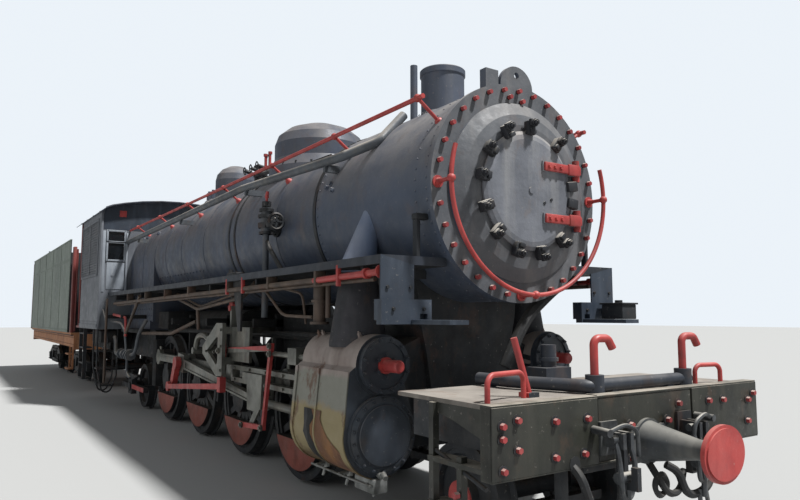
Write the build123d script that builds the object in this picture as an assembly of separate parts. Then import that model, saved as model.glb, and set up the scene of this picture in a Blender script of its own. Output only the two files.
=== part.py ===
from build123d import *
from math import asin, cos, degrees, radians, sin, sqrt
import os

# Steam locomotive of the 2-8-2 type for metre gauge, with its eight-wheel tender.
# Millimetres. Everything is drawn from the front driving axle (x = 0) and the
# rail top (z = 0), +X forward and +Y to the engine's left, and is moved to the
# part's own origin, the bottom centre of its bounds, as each piece is written.

FLANGE = 28
FRONT_END = 3812
REAR_END = -17488
ORIGIN = Location((-(FRONT_END + REAR_END) / 2, 0, FLANGE))

# Wheels and axles
DRIVER_R = 609.5
DRIVER_PITCH = 1500
DRIVER_X = [-DRIVER_PITCH * i for i in range(4)]
MAIN_X = DRIVER_X[2]
TRUCK_R = 355.5
LEAD_X = 2370
TRAIL_X = -6000
LEAD_PIVOT_X = 1000
TRAIL_PIVOT_X = -5000
TENDER_R = 381
TYRE_BACK = 463
TYRE_FACE = 598
DRIVER_AXLE_R = 88
TRUCK_AXLE_R = 70
HUB_FACE = 650

# Motion: crank throw, and the planes of the rods outward from the wheels
THROW = 305
PIN_R = 55
FIT = 0.4
SEAT = 0.3
SIDE_ROD_Y = (700, 765)
MAIN_ROD_Y = (802, 867)
RETURN_Y = (880, 945)
GEAR_Y = (905, 935)
ECCENTRIC_Y = (955, 990)
CYL_Y = 834
CYL_Z = 690
ROD_LENGTH = 2530
PISTON_ROD_R = 38
PISTON_REACH = 1760
LEVER_TOP = (40, 1265)
LEVER_FOOT = (-128, 470)
LINK_PIN = (-1180, 1150)
BRACKET_Y = (968, 1006)
GUIDE_X = (-1080, 905)

# The right crank stands up and the left one, a quarter turn behind, points back
CRANK_DEG = {-1: 90, 1: 180}

# Cylinders, smokebox, boiler and firebox
CYL_X = (905, 1800)
CYL_R = 300
COVER_R = 268
CHEST_Z = 1170
CHEST_R = 215
TAIL_ROD_END = 2014
BOILER_Z = 2406
SMOKEBOX_X = (600, 2277)
SMOKEBOX_R = 785
RING_X = (2277, 2322)
RING_R = 800
DOOR_R = 430
DOOR_X = (2410, 2446)
DOOR_HINGE = (2428, 490)
STRAP_Z = (2216, 2596)
LUG_Z = 3286
LUG_R = 160
LUG_TOP = 3354
LUG_BORE_R = 24
BARREL_X = (-4900, 600)
BARREL_R = 765
FIREBOX_X = (-7050, -4900)
FIREBOX_BOTTOM = 1300
FOOT_LEDGE = 25

# Frame, boards, beam and cab
FRAME_Y = (330, 425)
BOARD_X = (-6470, 2229)
BOARD_Y = (600, 1130)
BOARD_Z = (1850, 1909)
STEAM_PIPE_X = 1450
FEED_X = -240
RESERVOIR_X = (-4860, -2400)
HANGER_Z = 1623
DECK_X = (2440, 3254)
DECK_HALF = 1140
DECK_Z = (1045, 1069)
BEAM_X = (3254, 3324)
BEAM_HALF = 1196
BEAM_Z = (721, 1069)
BUFFER_Z = 797
CAB_X = (-8250, -6470)
CAB_HALF = 1290
CAB_FLOOR = (1290, 1330)
SHEET = 10
FRONT_PANE_Y = (905, 1165)
FRONT_PANE_Z = ((2480, 2765), (2800, 2965))
SHUTTER_X = (-8190, -6640)
SHUTTER_Z = (2250, 3150)
SLATS = 18
HOOP_X = (-6860, -6520)
ROOF_X = (-9000, -6330)
# The cab roof's underside as distance from the centre line and height
EAVES = 20  # how far the roof reaches past the cab's side
ROOF_PROFILE = [
    (0, 3552), (CAB_HALF - 970, 3540), (CAB_HALF - 650, 3505), (CAB_HALF - 360, 3452),
    (CAB_HALF - 160, 3402), (CAB_HALF - 55, 3355), (CAB_HALF + EAVES, 3290)]
DRAWBAR_X = -8480

# Tender
TENDER_X = (-17000, -9400)
TANK_X = (-16900, -9750)
SOLE_Z = (870, 1130)
TANK_TOP = 3120
BOGIE_X = (-11100, -15250)
BOGIE_BASE = 1550
BOGIE_PIN_R = 50


def block(x, y, z):
    """A box between two x, two y and two z values."""
    size = [abs(pair[1] - pair[0]) for pair in (x, y, z)]
    middle = [(pair[0] + pair[1]) / 2 for pair in (x, y, z)]
    return Pos(*middle) * Box(*size)


def bar(start, end, radius):
    """A round bar from one point to another."""
    a, b = Vector(*start), Vector(*end)
    plane = Plane(origin=a, z_dir=b - a)
    return extrude(plane * Circle(radius), amount=(b - a).length)


def bar_x(x, y, z, radius):
    return bar((x[0], y, z), (x[1], y, z), radius)


def bar_y(x, y, z, radius):
    return bar((x, y[0], z), (x, y[1], z), radius)


def bar_z(x, y, z, radius):
    return bar((x, y, z[0]), (x, y, z[1]), radius)


def outline_xz(points, y):
    """A side view outline, as thick as the two y values say."""
    face = Plane.XZ * make_face(Polyline(*points, close=True))
    return Pos(0, max(y), 0) * extrude(face, amount=abs(y[1] - y[0]))


def outline_yz(points, x):
    """An end view outline, as thick as the two x values say."""
    face = Plane.YZ * make_face(Polyline(*points, close=True))
    return Pos(min(x), 0, 0) * extrude(face, amount=abs(x[1] - x[0]))


def turned_z(points, x, y=0):
    """A piece turned about an upright axis, from (radius, z) points."""
    face = Plane.XZ * make_face(Polyline(*points, close=True))
    return Pos(x, y, 0) * revolve(face, Axis.Z)


def turned_x(points, y, z):
    """A piece turned about a lengthwise axis, from (x, radius) points."""
    face = Plane.XZ * make_face(Polyline(*points, close=True))
    return Pos(0, y, z) * revolve(face, Axis.X)


def turned_y(points):
    """A piece turned about the Y axis, from (y, radius) points."""
    face = Plane.YZ * make_face(Polyline(*points, close=True))
    return revolve(face, Axis.Y)


def tube_path(points, radii, radius):
    """A bent round pipe: straight runs joined by tangent arcs."""
    path = FilletPolyline(*points, radius=radii) if len(points) > 2 else Line(*points)
    start = Plane(origin=path @ 0, z_dir=path % 0)
    return sweep(start * Circle(radius), path=path)


def opposite(shape):
    return mirror(shape, about=Plane.XZ)


def both(*shapes):
    """The pieces and their twins on the other side of the centre line."""
    return [side for shape in shapes for side in (shape, opposite(shape))]


def boiler_space():
    """The space that the boiler and smokebox fill, a seat's gap larger than they are."""
    space = bar_x((FIREBOX_X[0], BARREL_X[1]), 0, BOILER_Z, BARREL_R + SEAT)
    space += bar_x(SMOKEBOX_X, 0, BOILER_Z, SMOKEBOX_R + SEAT)
    space += bar_x(RING_X, 0, BOILER_Z, RING_R + SEAT)
    half = BARREL_R + SEAT
    return space + block(FIREBOX_X, (-half, half), (FIREBOX_BOTTOM + 100, BOILER_Z))


def seated(pieces):
    """Pieces cut back to where they sit on the boiler."""
    space = boiler_space()
    return [piece - space for piece in pieces]


def save(name, pieces):
    solids = [solid for piece in pieces for solid in piece.solids()]
    moved = [ORIGIN * solid for solid in solids]
    shape = moved[0] if len(moved) == 1 else Compound(children=moved)
    export_step(shape, f"parts/{name}.step")


def crank_pin(side, x=0, z=DRIVER_R):
    """The crank pin's x and z on one side of the engine, for an axle at x."""
    turn = radians(CRANK_DEG[side])
    return x + THROW * cos(turn), z + THROW * sin(turn)


def wrist(side):
    """The x of the crosshead's pin that the crank's angle sets."""
    pin_x, pin_z = crank_pin(side, MAIN_X)
    return pin_x + sqrt(ROD_LENGTH**2 - (pin_z - CYL_Z) ** 2)


def tyre(radius, depth=62):
    """A flanged tyre's section, turned about Y, on the left side."""
    return turned_y([
        (TYRE_BACK, radius - depth),
        (TYRE_BACK, radius + FLANGE - 8),
        (TYRE_BACK + 10, radius + FLANGE),
        (TYRE_BACK + 20, radius + FLANGE),
        (TYRE_BACK + 36, radius),
        (TYRE_FACE, radius - 3),
        (TYRE_FACE, radius - depth),
    ])


def spokes(count, inner, outer, y, width):
    """Flat spokes from a hub to a rim, set out evenly by turning one."""
    wide, narrow = width
    one = outline_xz([(-wide / 2, inner), (wide / 2, inner), (narrow / 2, outer), (-narrow / 2, outer)], y)
    return [Rot(0, 360 / count * i + 180 / count, 0) * one for i in range(count)]


def driver_wheel(crank_deg, pin_end):
    """A driving wheel on the left of an axle at the origin, with its crank."""
    rim_r = DRIVER_R - 62
    rim = turned_y([(485, rim_r - 48), (485, rim_r + 1), (585, rim_r + 1), (585, rim_r - 48)])
    hub = bar_y(0, (455, HUB_FACE), 0, 165)
    wheel = tyre(DRIVER_R) + rim + hub
    for spoke in spokes(14, 120, rim_r - 40, (505, 565), (92, 62)):
        wheel += spoke
    boss_at = (THROW * cos(radians(crank_deg)), THROW * sin(radians(crank_deg)))
    boss = bar_y(boss_at[0], (500, HUB_FACE + 40), boss_at[1], 105)
    web = Rot(0, -crank_deg, 0) * block((0, THROW), (500, HUB_FACE), (-95, 95))
    pin = bar_y(boss_at[0], (HUB_FACE, pin_end), boss_at[1], PIN_R)
    disc = bar_y(0, (490, 640), 0, rim_r - 30)
    beyond = block((-700, -250), (400, 700), (-700, 700))
    weight = Rot(0, -crank_deg, 0) * (disc & beyond)
    return wheel + boss + web + pin + weight


def driver_axle(index):
    """A driving axle: two wheels, their cranks a quarter turn apart."""
    pin_end = 790 if index == 2 else SIDE_ROD_Y[1] + 1
    left = driver_wheel(CRANK_DEG[1], pin_end)
    right = opposite(driver_wheel(CRANK_DEG[-1], pin_end))
    axle = bar_y(0, (-460, 460), 0, DRIVER_AXLE_R)
    return Pos(DRIVER_X[index], 0, DRIVER_R) * (left + right + axle)


def truck_axle(radius, x, journal):
    """A carrying axle with two disc wheels and journals out to a given y."""
    rim_r = radius - 50
    disc = turned_y([
        (TYRE_BACK + 12, rim_r + 1), (TYRE_FACE - 12, rim_r + 1), (TYRE_FACE - 12, rim_r - 30),
        (545, rim_r - 45), (560, 130), (TYRE_FACE + 12, 118), (TYRE_FACE + 12, 0),
        (TYRE_BACK - 5, 0), (TYRE_BACK - 5, 118), (515, 130), (500, rim_r - 45), (TYRE_BACK + 12, rim_r - 30),
    ])
    wheel = tyre(radius, 50) + disc
    axle = bar_y(0, (-journal, journal), 0, TRUCK_AXLE_R)
    return Pos(x, 0, radius) * (wheel + opposite(wheel) + axle)


def side_rod(side):
    """The coupling rod of one side, with an eye on each crank pin."""
    pins = [crank_pin(side, x) for x in DRIVER_X]
    z = pins[0][1]
    y = [side * v for v in SIDE_ROD_Y]
    rod = block((pins[3][0], pins[0][0]), y, (z - 52, z + 52))
    for x, _ in pins:
        rod += bar_y(x, y, z, 112)
    for x, _ in pins[1:3]:
        rod += bar_y(x + 210 if x == pins[1][0] else x - 210, y, z, 84)
    for x, _ in pins:
        rod -= bar_y(x, (side * 600, side * 900), z, PIN_R + FIT)
    return rod


def main_rod(side):
    """The connecting rod, with the crank's outer journal and return crank."""
    pin_x, pin_z = crank_pin(side, MAIN_X)
    wrist_x = wrist(side)
    tilt = degrees(asin((pin_z - CYL_Z) / ROD_LENGTH))
    y = [side * v for v in MAIN_ROD_Y]
    shaft = outline_xz([(0, -40), (0, 40), (-ROD_LENGTH, 62), (-ROD_LENGTH, -62)], y)
    flute = outline_xz([(-160, -22), (-160, 22), (-ROD_LENGTH + 200, 38), (-ROD_LENGTH + 200, -38)], y)
    shaft -= Pos(0, side * (MAIN_ROD_Y[1] - MAIN_ROD_Y[0] - 14), 0) * flute
    big = block((-ROD_LENGTH - 130, -ROD_LENGTH + 130), y, (-112, 112))
    small = bar_y(0, y, 0, 84)
    bore = bar_y(0, (side * 600, side * 1000), 0, 42 + FIT)
    rod = Pos(wrist_x, 0, CYL_Z) * (Rot(0, tilt, 0) * (shaft + big + small - bore))
    journal = bar_y(pin_x, (side * 797, side * RETURN_Y[1]), pin_z, 62)
    journal += bar_y(pin_x, (side * RETURN_Y[0], side * RETURN_Y[1]), pin_z, 80)
    back_x, back_z = return_pin(side)
    slant = degrees_to(pin_x, pin_z, back_x, back_z)
    arm = Rot(0, -slant, 0) * block((0, 330), [side * v for v in RETURN_Y], (-52, 52))
    return rod + journal + Pos(pin_x, 0, pin_z) * arm


def degrees_to(x0, z0, x1, z1):
    """The angle from one point to another in a side view."""
    reach = Vector(x1 - x0, z1 - z0)
    slope = degrees(asin(reach.Y / reach.length))
    return slope if reach.X >= 0 else 180 - slope


def return_pin(side):
    """The return crank's own pin, near the axle and turned behind the crank."""
    turn = radians(CRANK_DEG[side] + 90)
    return MAIN_X + 150 * cos(turn), DRIVER_R + 150 * sin(turn)


def crosshead(side):
    """The crosshead with its pin, its slanted drop arm and the piston rod."""
    x = wrist(side)
    inner_y = (side * 771, side * 789)
    outer_y = (side * 879, side * 899)
    middle_y = (side * 780, side * 890)
    cheek = [(x - 250, 954), (x + 250, 954), (x + 230, 640), (x + 110, 600), (x - 110, 600), (x - 130, 860)]
    whole = outline_xz(cheek, inner_y) + outline_xz(cheek, outer_y)
    whole += block((x - 250, x + 250), inner_y, (886, 954)) + block((x - 250, x + 250), outer_y, (886, 954))
    whole += block((x - 250, x + 250), middle_y, (886, 954)) + block((x + 105, x + 230), middle_y, (630, 750))
    whole += bar_y(x, (side * 771, side * 899), CYL_Z, 42)
    whole += outline_xz([(x + 120, 660), (x + 215, 640), (x + 20, 450), (x - 50, 480)], outer_y)
    return whole + bar_x((x + 200, x + PISTON_REACH), side * CYL_Y, CYL_Z, PISTON_ROD_R)


def frame():
    """Two bar frames with a pedestal round each driving box, and their stays."""
    side = block((-8350, 700), FRAME_Y, (800, 900))
    side += block((-5150, 700), FRAME_Y, (430, 500))
    side += block((600, 3254), FRAME_Y, (790, 930))
    for x in DRIVER_X:
        for end in (-1, 1):
            side += block((x + end * 149, x + end * 230), FRAME_Y, (430, 860))
        side += block((x - 149, x + 149), (FRAME_Y[0] - 15, FRAME_Y[1] + 25), (480, 760))
        side -= bar_y(x, (200, 600), DRIVER_R, DRIVER_AXLE_R + FIT)
    side += block((620, 700), FRAME_Y, (430, 860))
    # Stays as x and z ranges, each across between the two frames
    stays = [
        ((3170, 3254), (790, 930)), ((640, 900), (430, 900)), ((-700, -800), (800, 900)),
        ((-2200, -2300), (800, 900)), ((-3700, -3800), (800, 900)), ((-5150, -4950), (430, 500)),
        ((-5150, -5050), (430, 900)), ((-8350, -8050), (800, 1000)),
    ]
    whole = side + opposite(side)
    for x, z in stays:
        whole += block(x, (-FRAME_Y[1], FRAME_Y[1]), z)
    whole += bar_z(LEAD_PIVOT_X, 0, (300, 560 - SEAT), 35)
    whole += block((860, 1060), (-120, 120), (500, 560 - SEAT))
    whole += bar_z(TRAIL_PIVOT_X, 0, (300, 440), 35)
    whole += block((-8560, -8100), (-330, 330), (900, 1010))
    whole += bar_z(DRAWBAR_X, 0, (720, 920), 45)
    return whole


def cylinders():
    """Both cylinders and valve chests with the saddle between them, one casting."""
    y = CYL_Y
    pod = turned_x([
        (CYL_X[0], 0), (CYL_X[0], 250), (CYL_X[0] + 30, 250), (CYL_X[0] + 30, CYL_R), (CYL_X[1] - 30, CYL_R),
        (CYL_X[1] - 30, COVER_R), (CYL_X[1], COVER_R), (CYL_X[1] + 23, COVER_R - 40), (CYL_X[1] + 23, 0),
    ], y, CYL_Z)
    chest = turned_x([
        (CYL_X[0] + 10, 0), (CYL_X[0] + 10, 170), (CYL_X[0] + 50, CHEST_R), (CYL_X[1] - 15, CHEST_R),
        (CYL_X[1] - 15, 195), (CYL_X[1] + 23, 195), (CYL_X[1] + 23, 0),
    ], y, CHEST_Z)
    web = outline_yz([
        (y - 290, CYL_Z), (y + 298, CYL_Z), (y + 255, CHEST_Z - 40), (y + 200, CHEST_Z), (y - 200, CHEST_Z),
    ], (CYL_X[0] + 30, CYL_X[1] - 30))
    inward = outline_yz([(300, 560), (620, 560), (700, 760), (700, 1250), (300, 1420)], (1000, 1700))
    side = pod + chest + web + inward
    side -= bar_x((800, 1740), y, CYL_Z, PISTON_ROD_R + FIT)
    saddle = outline_yz([
        (-310, 560), (310, 560), (420, 1250), (480, 1500), (520, 1830),
        (-520, 1830), (-480, 1500), (-420, 1250),
    ], (950, 1750))
    saddle -= bar_x((900, 1800), 0, BOILER_Z, SMOKEBOX_R + SEAT)
    whole = side + opposite(side) + saddle
    for edge in (1, -1):
        slot = [edge * (FRAME_Y[0] - SEAT), edge * (FRAME_Y[1] + SEAT)]
        whole -= block((900, 1800), slot, (790 - SEAT, 930 + SEAT))
    return whole


def smokebox():
    """The smokebox drum, its bolted front ring and the dished front that holds the door."""
    drum = bar_x(SMOKEBOX_X, 0, BOILER_Z, SMOKEBOX_R)
    ring = bar_x(RING_X, 0, BOILER_Z, RING_R)
    dish = turned_x([
        (RING_X[1] - 1, 0), (RING_X[1] - 1, 655), (RING_X[1] + 18, 655), (RING_X[1] + 66, 560),
        (DOOR_X[0] - 6, 480), (DOOR_X[0] - 6, 0),
    ], 0, BOILER_Z)
    lug_x = (RING_X[0] + 5, RING_X[1] - 5)
    top = BOILER_Z + RING_R
    lug = block(lug_x, (-LUG_R, LUG_R), (top - 15, LUG_TOP - LUG_R)) + bar_x(lug_x, 0, LUG_TOP - LUG_R, LUG_R)
    lug -= bar_x((RING_X[0] - 5, RING_X[1] + 5), 0, LUG_Z, LUG_BORE_R)
    lug += block((RING_X[0] - 20, RING_X[1]), (-305, -185), (top - 80, top + 80))
    front = drum + ring + dish + lug
    knuckle_x = (DOOR_X[0] - 60, DOOR_HINGE[0] + 5)
    for z in STRAP_Z:
        front += block(knuckle_x, (DOOR_HINGE[1] - 22, DOOR_HINGE[1] + 22), (z - 75, z - 40 - SEAT))
    return front


def smokebox_door():
    """The round door with its boss, two straps and hinge knuckles."""
    door = turned_x([
        (DOOR_X[0], 0), (DOOR_X[0], DOOR_R), (DOOR_X[0] + 14, DOOR_R), (DOOR_X[1] - 8, DOOR_R - 26),
        (DOOR_X[1], DOOR_R - 60), (DOOR_X[1], 0),
    ], 0, BOILER_Z)
    door += bar_x((DOOR_X[1] - 1, DOOR_X[1] + 8), 0, BOILER_Z, 24)
    for z in STRAP_Z:
        door += block((DOOR_X[0] + 8, DOOR_X[1] + 12), (110, DOOR_HINGE[1]), (z - 38, z + 38))
        door += bar_z(DOOR_HINGE[0], DOOR_HINGE[1], (z - 40, z + 60), 20)
    return door


def boiler_barrel():
    """The lagged barrel."""
    return bar_x(BARREL_X, 0, BOILER_Z, BARREL_R)


def firebox():
    """The wide firebox: a round top over sides that drop to the foundation ring."""
    top = bar_x(FIREBOX_X, 0, BOILER_Z, BARREL_R)
    sides = block(FIREBOX_X, (-BARREL_R, BARREL_R), (FIREBOX_BOTTOM + 120, BOILER_Z))
    ledge = BARREL_R + FOOT_LEDGE
    foot = block((FIREBOX_X[0] + 100, FIREBOX_X[1] - 60), (-ledge, ledge),
                 (FIREBOX_BOTTOM, FIREBOX_BOTTOM + 140))
    return top + sides + foot


def ashpan():
    """The ashpan, clear over the trailing wheels and deep between the frames."""
    upper = block((-6850, -5180), (-640, 640), (905, FIREBOX_BOTTOM - SEAT))
    lower = block((-5500, -5180), (-300, 300), (520, 960))
    return upper + lower


def chimney():
    """The chimney with its flared foot and lip, and the exhaust pipe beside it."""
    top = 3592
    stack = turned_z([
        (0, 3120), (230, 3120), (225, 3165), (184, 3215), (184, top - 60),
        (194, top - 52), (194, top - 8), (186, top), (150, top), (150, 3400), (0, 3400),
    ], 1425)
    exhaust = bar_z(1425, -300, (3080, 3580), 30)
    return seated([stack, exhaust])


def domes():
    """The sand dome and the steam dome, seated on the barrel, and the safety valves."""
    # Each dome as x, radius, z where the round top starts, and z of its top
    table = [(-850, 500, 3400, 3668), (-3500, 290, 3460, 3690)]
    made = []
    for x, radius, shoulder, top in table:
        rise = top - shoulder
        arc = [(radius * cos(radians(a)), shoulder + rise * sin(radians(a))) for a in (0, 22, 45, 68, 84)]
        skirt = [(0, 3000), (radius + 70, 3000), (radius + 55, 3120), (radius, 3230)]
        dome = turned_z(skirt + arc + [(0, top)], x)
        made.append(dome)
    for x in (-4500, -4680):
        made.append(turned_z([(0, 3100), (75, 3100), (75, 3330), (50, 3350), (50, 3470), (0, 3480)], x))
    return seated(made)


def running_boards():
    """The boards each side of the boiler, with the plates and brackets that hang from them."""
    board = block(BOARD_X, BOARD_Y, BOARD_Z)
    hanger = block((BOARD_X[1] - 12, BOARD_X[1]), (BOARD_Y[1] - 260, BOARD_Y[1]), (HANGER_Z, BOARD_Z[0] + 5))
    for x in (1900, 0, -1300, -2900, -4400, -6100):
        board += block((x - 15, x + 15), (BOARD_Y[0] - 60, BOARD_Y[1] - 60), (BOARD_Z[0] - 70, BOARD_Z[0]))
    under = BOARD_Z[0] + 5
    drop = outline_xz([(-570, under), (-330, under), (-345, 1367), (-410, 1367)], (1060, 1080))
    board -= bar_z(STEAM_PIPE_X, CYL_Y, BOARD_Z, 160) + bar_z(FEED_X, 880, BOARD_Z, 40)
    return both(*seated([board + hanger + drop]))


def air_reservoir():
    """The long air tank hung under the left board on two straps."""
    y, z, radius = 870, 1500, 225
    rear, front = RESERVOIR_X
    tank = turned_x([
        (rear, 0), (rear, radius - 70), (rear + 40, radius), (front - 40, radius),
        (front, radius - 70), (front, 0),
    ], y, z)
    for x in (rear + 300, front - 360):
        tank += bar_x((x, x + 60), y, z, radius + 8)
        tank += block((x, x + 60), (y - 40, y + 40), (z + radius - 20, BOARD_Z[0] - SEAT))
    return [tank]


def front_deck():
    """The deck plate ahead of the cylinders and the brackets under it."""
    plate = block(DECK_X, (-DECK_HALF, DECK_HALF), DECK_Z)
    for y in (-900, 0, 900):
        plate += block((DECK_X[0] + 60, DECK_X[1]), (y - 20, y + 20), (DECK_Z[0] - 90, DECK_Z[0]))
    return [plate]


def buffer_beam():
    return [block(BEAM_X, (-BEAM_HALF, BEAM_HALF), BEAM_Z)]


def oval(x, half_y, half_z):
    """An oval plate across the engine between two x values."""
    return extrude(Plane(origin=(x[0], 0, 0), x_dir=(0, 1, 0), z_dir=(1, 0, 0)) * Ellipse(half_y, half_z),
                   amount=x[1] - x[0])


def centre_buffer(face_x, turn):
    """A centre buffer with an oval head, round flange and tapered shank on a beam's face."""
    flange = block((0, 26), (-170, 170), (-108, 90)) + bar_x((0, 26), 0, 0, 130)
    shank = turned_x([(20, 0), (20, 118), (60, 108), (330, 56), (465, 52), (465, 0)], 0, 0)
    head = oval((456, 480), 188, 151) + oval((479, 488), 170, 134)
    whole = flange + shank + head
    return Pos(face_x, 0, BUFFER_Z) * (Rot(0, 0, turn) * whole)


def coupling(face_x, turn, y):
    """A side coupling: an eye plate on the beam, a pin and a hook."""
    plate = block((0, 24), (-70, 70), (-90, 90))
    jaws = block((10, 150), (-45, -18), (-42, 42)) + block((10, 150), (18, 45), (-42, 42))
    jaws -= bar_y(105, (-60, 60), 0, 18)
    return Pos(face_x, y, 850) * (Rot(0, 0, turn) * (plate + jaws))


def coupling_hook(face_x, turn, y):
    """The hook that hangs from the coupling's pin."""
    shank = block((75, 130), (-16, 16), (-210, 30)) + bar_y(105, (-46, 46), 0, 17)
    curl = block((75, 210), (-16, 16), (-250, -205)) + block((170, 210), (-16, 16), (-250, -130))
    return Pos(face_x, y, 850) * (Rot(0, 0, turn) * (shank + curl))


def truncated(edge, profile):
    """A two-sided outline across the engine from one side's y and z points."""
    return [(-y, z + edge) for y, z in profile[::-1]] + [(y, z + edge) for y, z in profile if y > 0]


def roof_edge(offset):
    """Points across the cab roof from the right eaves to the left, raised by an offset."""
    return truncated(offset, ROOF_PROFILE)


def roof_under(y):
    """The height of the roof's underside at a distance from the centre line."""
    for (near, high), (far, low) in zip(ROOF_PROFILE, ROOF_PROFILE[1:]):
        if y <= far:
            return high + (low - high) * (y - near) / (far - near)
    return ROOF_PROFILE[-1][1]


def cab_roof():
    low = roof_edge(0)
    high = [(y, z + 14) for y, z in low]
    roof = outline_yz(low + high[::-1], ROOF_X)
    crown = ROOF_PROFILE[0][1]
    roof += block((-8000, -7100), (-420, 420), (crown - 25, crown + 40))
    return [roof]


def cab_walls():
    """The cab's front and sides, bent from sheet, with the window openings."""
    side_top = roof_under(CAB_HALF) - SEAT
    top = [(y, z) for y, z in roof_edge(-SEAT) if abs(y) < CAB_HALF - 20]
    wall = outline_yz(
        [(-CAB_HALF, CAB_FLOOR[0]), (CAB_HALF, CAB_FLOOR[0]), (CAB_HALF, side_top)] + top[::-1]
        + [(-CAB_HALF, side_top)], (CAB_X[1] - SHEET, CAB_X[1]))
    through = (CAB_X[1] - 60, CAB_X[1] + 60)
    wall -= bar_x(through, 0, BOILER_Z, BARREL_R + SEAT)
    wall -= block(through, (-BARREL_R - SEAT, BARREL_R + SEAT), (1000, BOILER_Z))
    foot = BARREL_R + FOOT_LEDGE + SEAT
    wall -= block(through, (-foot, foot), (1000, FIREBOX_BOTTOM + 140 + SEAT))
    for z in FRONT_PANE_Z:
        pane = block(through, FRONT_PANE_Y, z)
        wall -= pane + opposite(pane)
    side = block(CAB_X, (CAB_HALF - SHEET, CAB_HALF), (CAB_FLOOR[0], side_top))
    side -= block(SHUTTER_X, (CAB_HALF - 60, CAB_HALF + 60), SHUTTER_Z)
    side += block((CAB_X[0], CAB_X[0] + 40), (CAB_HALF - 60, CAB_HALF), (CAB_FLOOR[1] + SEAT, side_top - 45))
    return [wall + side + opposite(side)]


def cab_shutters():
    """The louvred shutter that closes each side window, its slats bent outward."""
    low, high = SHUTTER_Z[0] + SEAT, SHUTTER_Z[1] - SEAT
    pitch = (high - low) / SLATS
    inner, outer = CAB_HALF - SHEET, CAB_HALF
    points = [(inner - 4, low), (inner + 2, low)]
    for slat in range(SLATS):
        points += [(outer, low + pitch * slat + 4), (inner + 2, low + pitch * (slat + 1))]
    points.append((inner - 4, high))
    return both(outline_yz(points, (SHUTTER_X[0] + SEAT, SHUTTER_X[1] - SEAT)))


def cab_floor():
    """The cab floor with the drag plate's apron, and the four posts of the gangway."""
    floor = block((-8700, -7060), (-CAB_HALF + 11, CAB_HALF - 11), CAB_FLOOR)
    floor += block((-8600, -8360), (-700, 700), (1010 + SEAT, CAB_FLOOR[0]))
    wing = block((-7060, CAB_X[1] - SHEET - SEAT), (BARREL_R + 30, CAB_HALF - 11), CAB_FLOOR)
    head = roof_under(CAB_HALF - 28) - 3
    posts = [bar_z(x, CAB_HALF - 45, (CAB_FLOOR[1] + SEAT, head), 17) for x in (-8640, -8420)]
    return [floor + wing + opposite(wing)] + both(*posts)


def cab_fittings():
    """Fire door, regulator, gauges' board, reversing lever and two seat boxes."""
    back = FIREBOX_X[0]
    low = CAB_FLOOR[1] + SEAT
    door = block((back - 40, back - SEAT), (-230, 230), (1620, 1980))
    regulator = bar_x((back - 90, back - SEAT), 0, 2760, 36)
    regulator += bar((back - 80, 0, 2760), (back - 80, -330, 2640), 16)
    board = block((back - 60, back - SEAT), (-420, 420), (2950, 3060))
    seat = block((-8000, -7500), (CAB_HALF - 430, CAB_HALF - 61), (low, 1900))
    lever = block((-7260, -7180), (-980, -920), (low, 2300))
    lever += block((-7480, -7080), (-1000, -900), (low, 1480))
    return [door, regulator, board, lever] + both(seat)


def boiler_handrails():
    """A rail along each side of the boiler on short stanchions."""
    y, z = 810, 3000
    rail = bar_x((-6460, 2255), y, z, 17)
    for x in (2190, 1000, -300, -1700, -3100, -4500, -5900):
        reach = BARREL_R / sqrt(y**2 + (z - BOILER_Z) ** 2)
        rail += bar((x, y * reach * 0.97, BOILER_Z + (z - BOILER_Z) * reach * 0.97), (x, y, z), 13)
    return both(*seated([rail]))


def front_handrail():
    """The U-shaped rail before the smokebox front, on its stanchions."""
    x, radius = 2472, 745
    path = Plane(origin=(x, 0, BOILER_Z), x_dir=(0, 1, 0), z_dir=(1, 0, 0)) * Wire(
        [CenterArc((0, 0, 0), radius, 162, 216)])
    rail = sweep(Plane(origin=path @ 0, z_dir=path % 0) * Circle(16), path=path)
    for angle in (180, 270, 0):
        y, z = radius * cos(radians(angle)), radius * sin(radians(angle))
        rail += bar((RING_X[1] + SEAT, y, BOILER_Z + z), (x, y, BOILER_Z + z), 14)
    return [rail]


def pipe_runs():
    """The large pipe along each boiler side, the check valve and its feed pipe."""
    run = tube_path([
        (1405, 390, 3150), (1430, 640, 2890), (1180, 845, 2786), (-1000, 845, 2872), (-6460, 845, 2792),
    ], 90, 38)
    # Each bracket's place along the boiler and the height of the pipe's lower side there
    for x, under in ((900, 2765), (-900, 2840), (-3300, 2800), (-5700, 2770)):
        run += block((x - 20, x + 20), (600, 850), (under - 50, under + 10))
    return both(*seated([run]))


def feed_gear():
    """The check valve on each side of the barrel and the pipe down from it."""
    valve = bar_y(FEED_X, (700, 900), 2400, 75) + bar_z(FEED_X, 880, (2300, 2560), 55)
    feed = bar_z(FEED_X, 880, (1500, 2320), 30)
    return both(*seated([valve + feed]))


def steam_pipes():
    """The outside steam pipes: a cone out of the smokebox, flared down to the valve chest."""
    x, y = STEAM_PIPE_X, CYL_Y
    lean = Vector(0, 690 - y, 2400 - 1900)
    foot = (Align.CENTER, Align.CENTER, Align.MIN)
    upper = Plane(origin=(x, y, 1900), z_dir=lean) * Cone(132, 50, lean.length, align=foot)
    low = CHEST_Z + 120
    drop = turned_z([(0, low), (218, low), (218, low + 30), (138, 1840), (138, 1900), (0, 1900)], x, y)
    pipe = drop + upper - bar_x((x - 400, x + 400), y, CHEST_Z, CHEST_R + SEAT)
    return both(*seated([pipe]))


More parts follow.
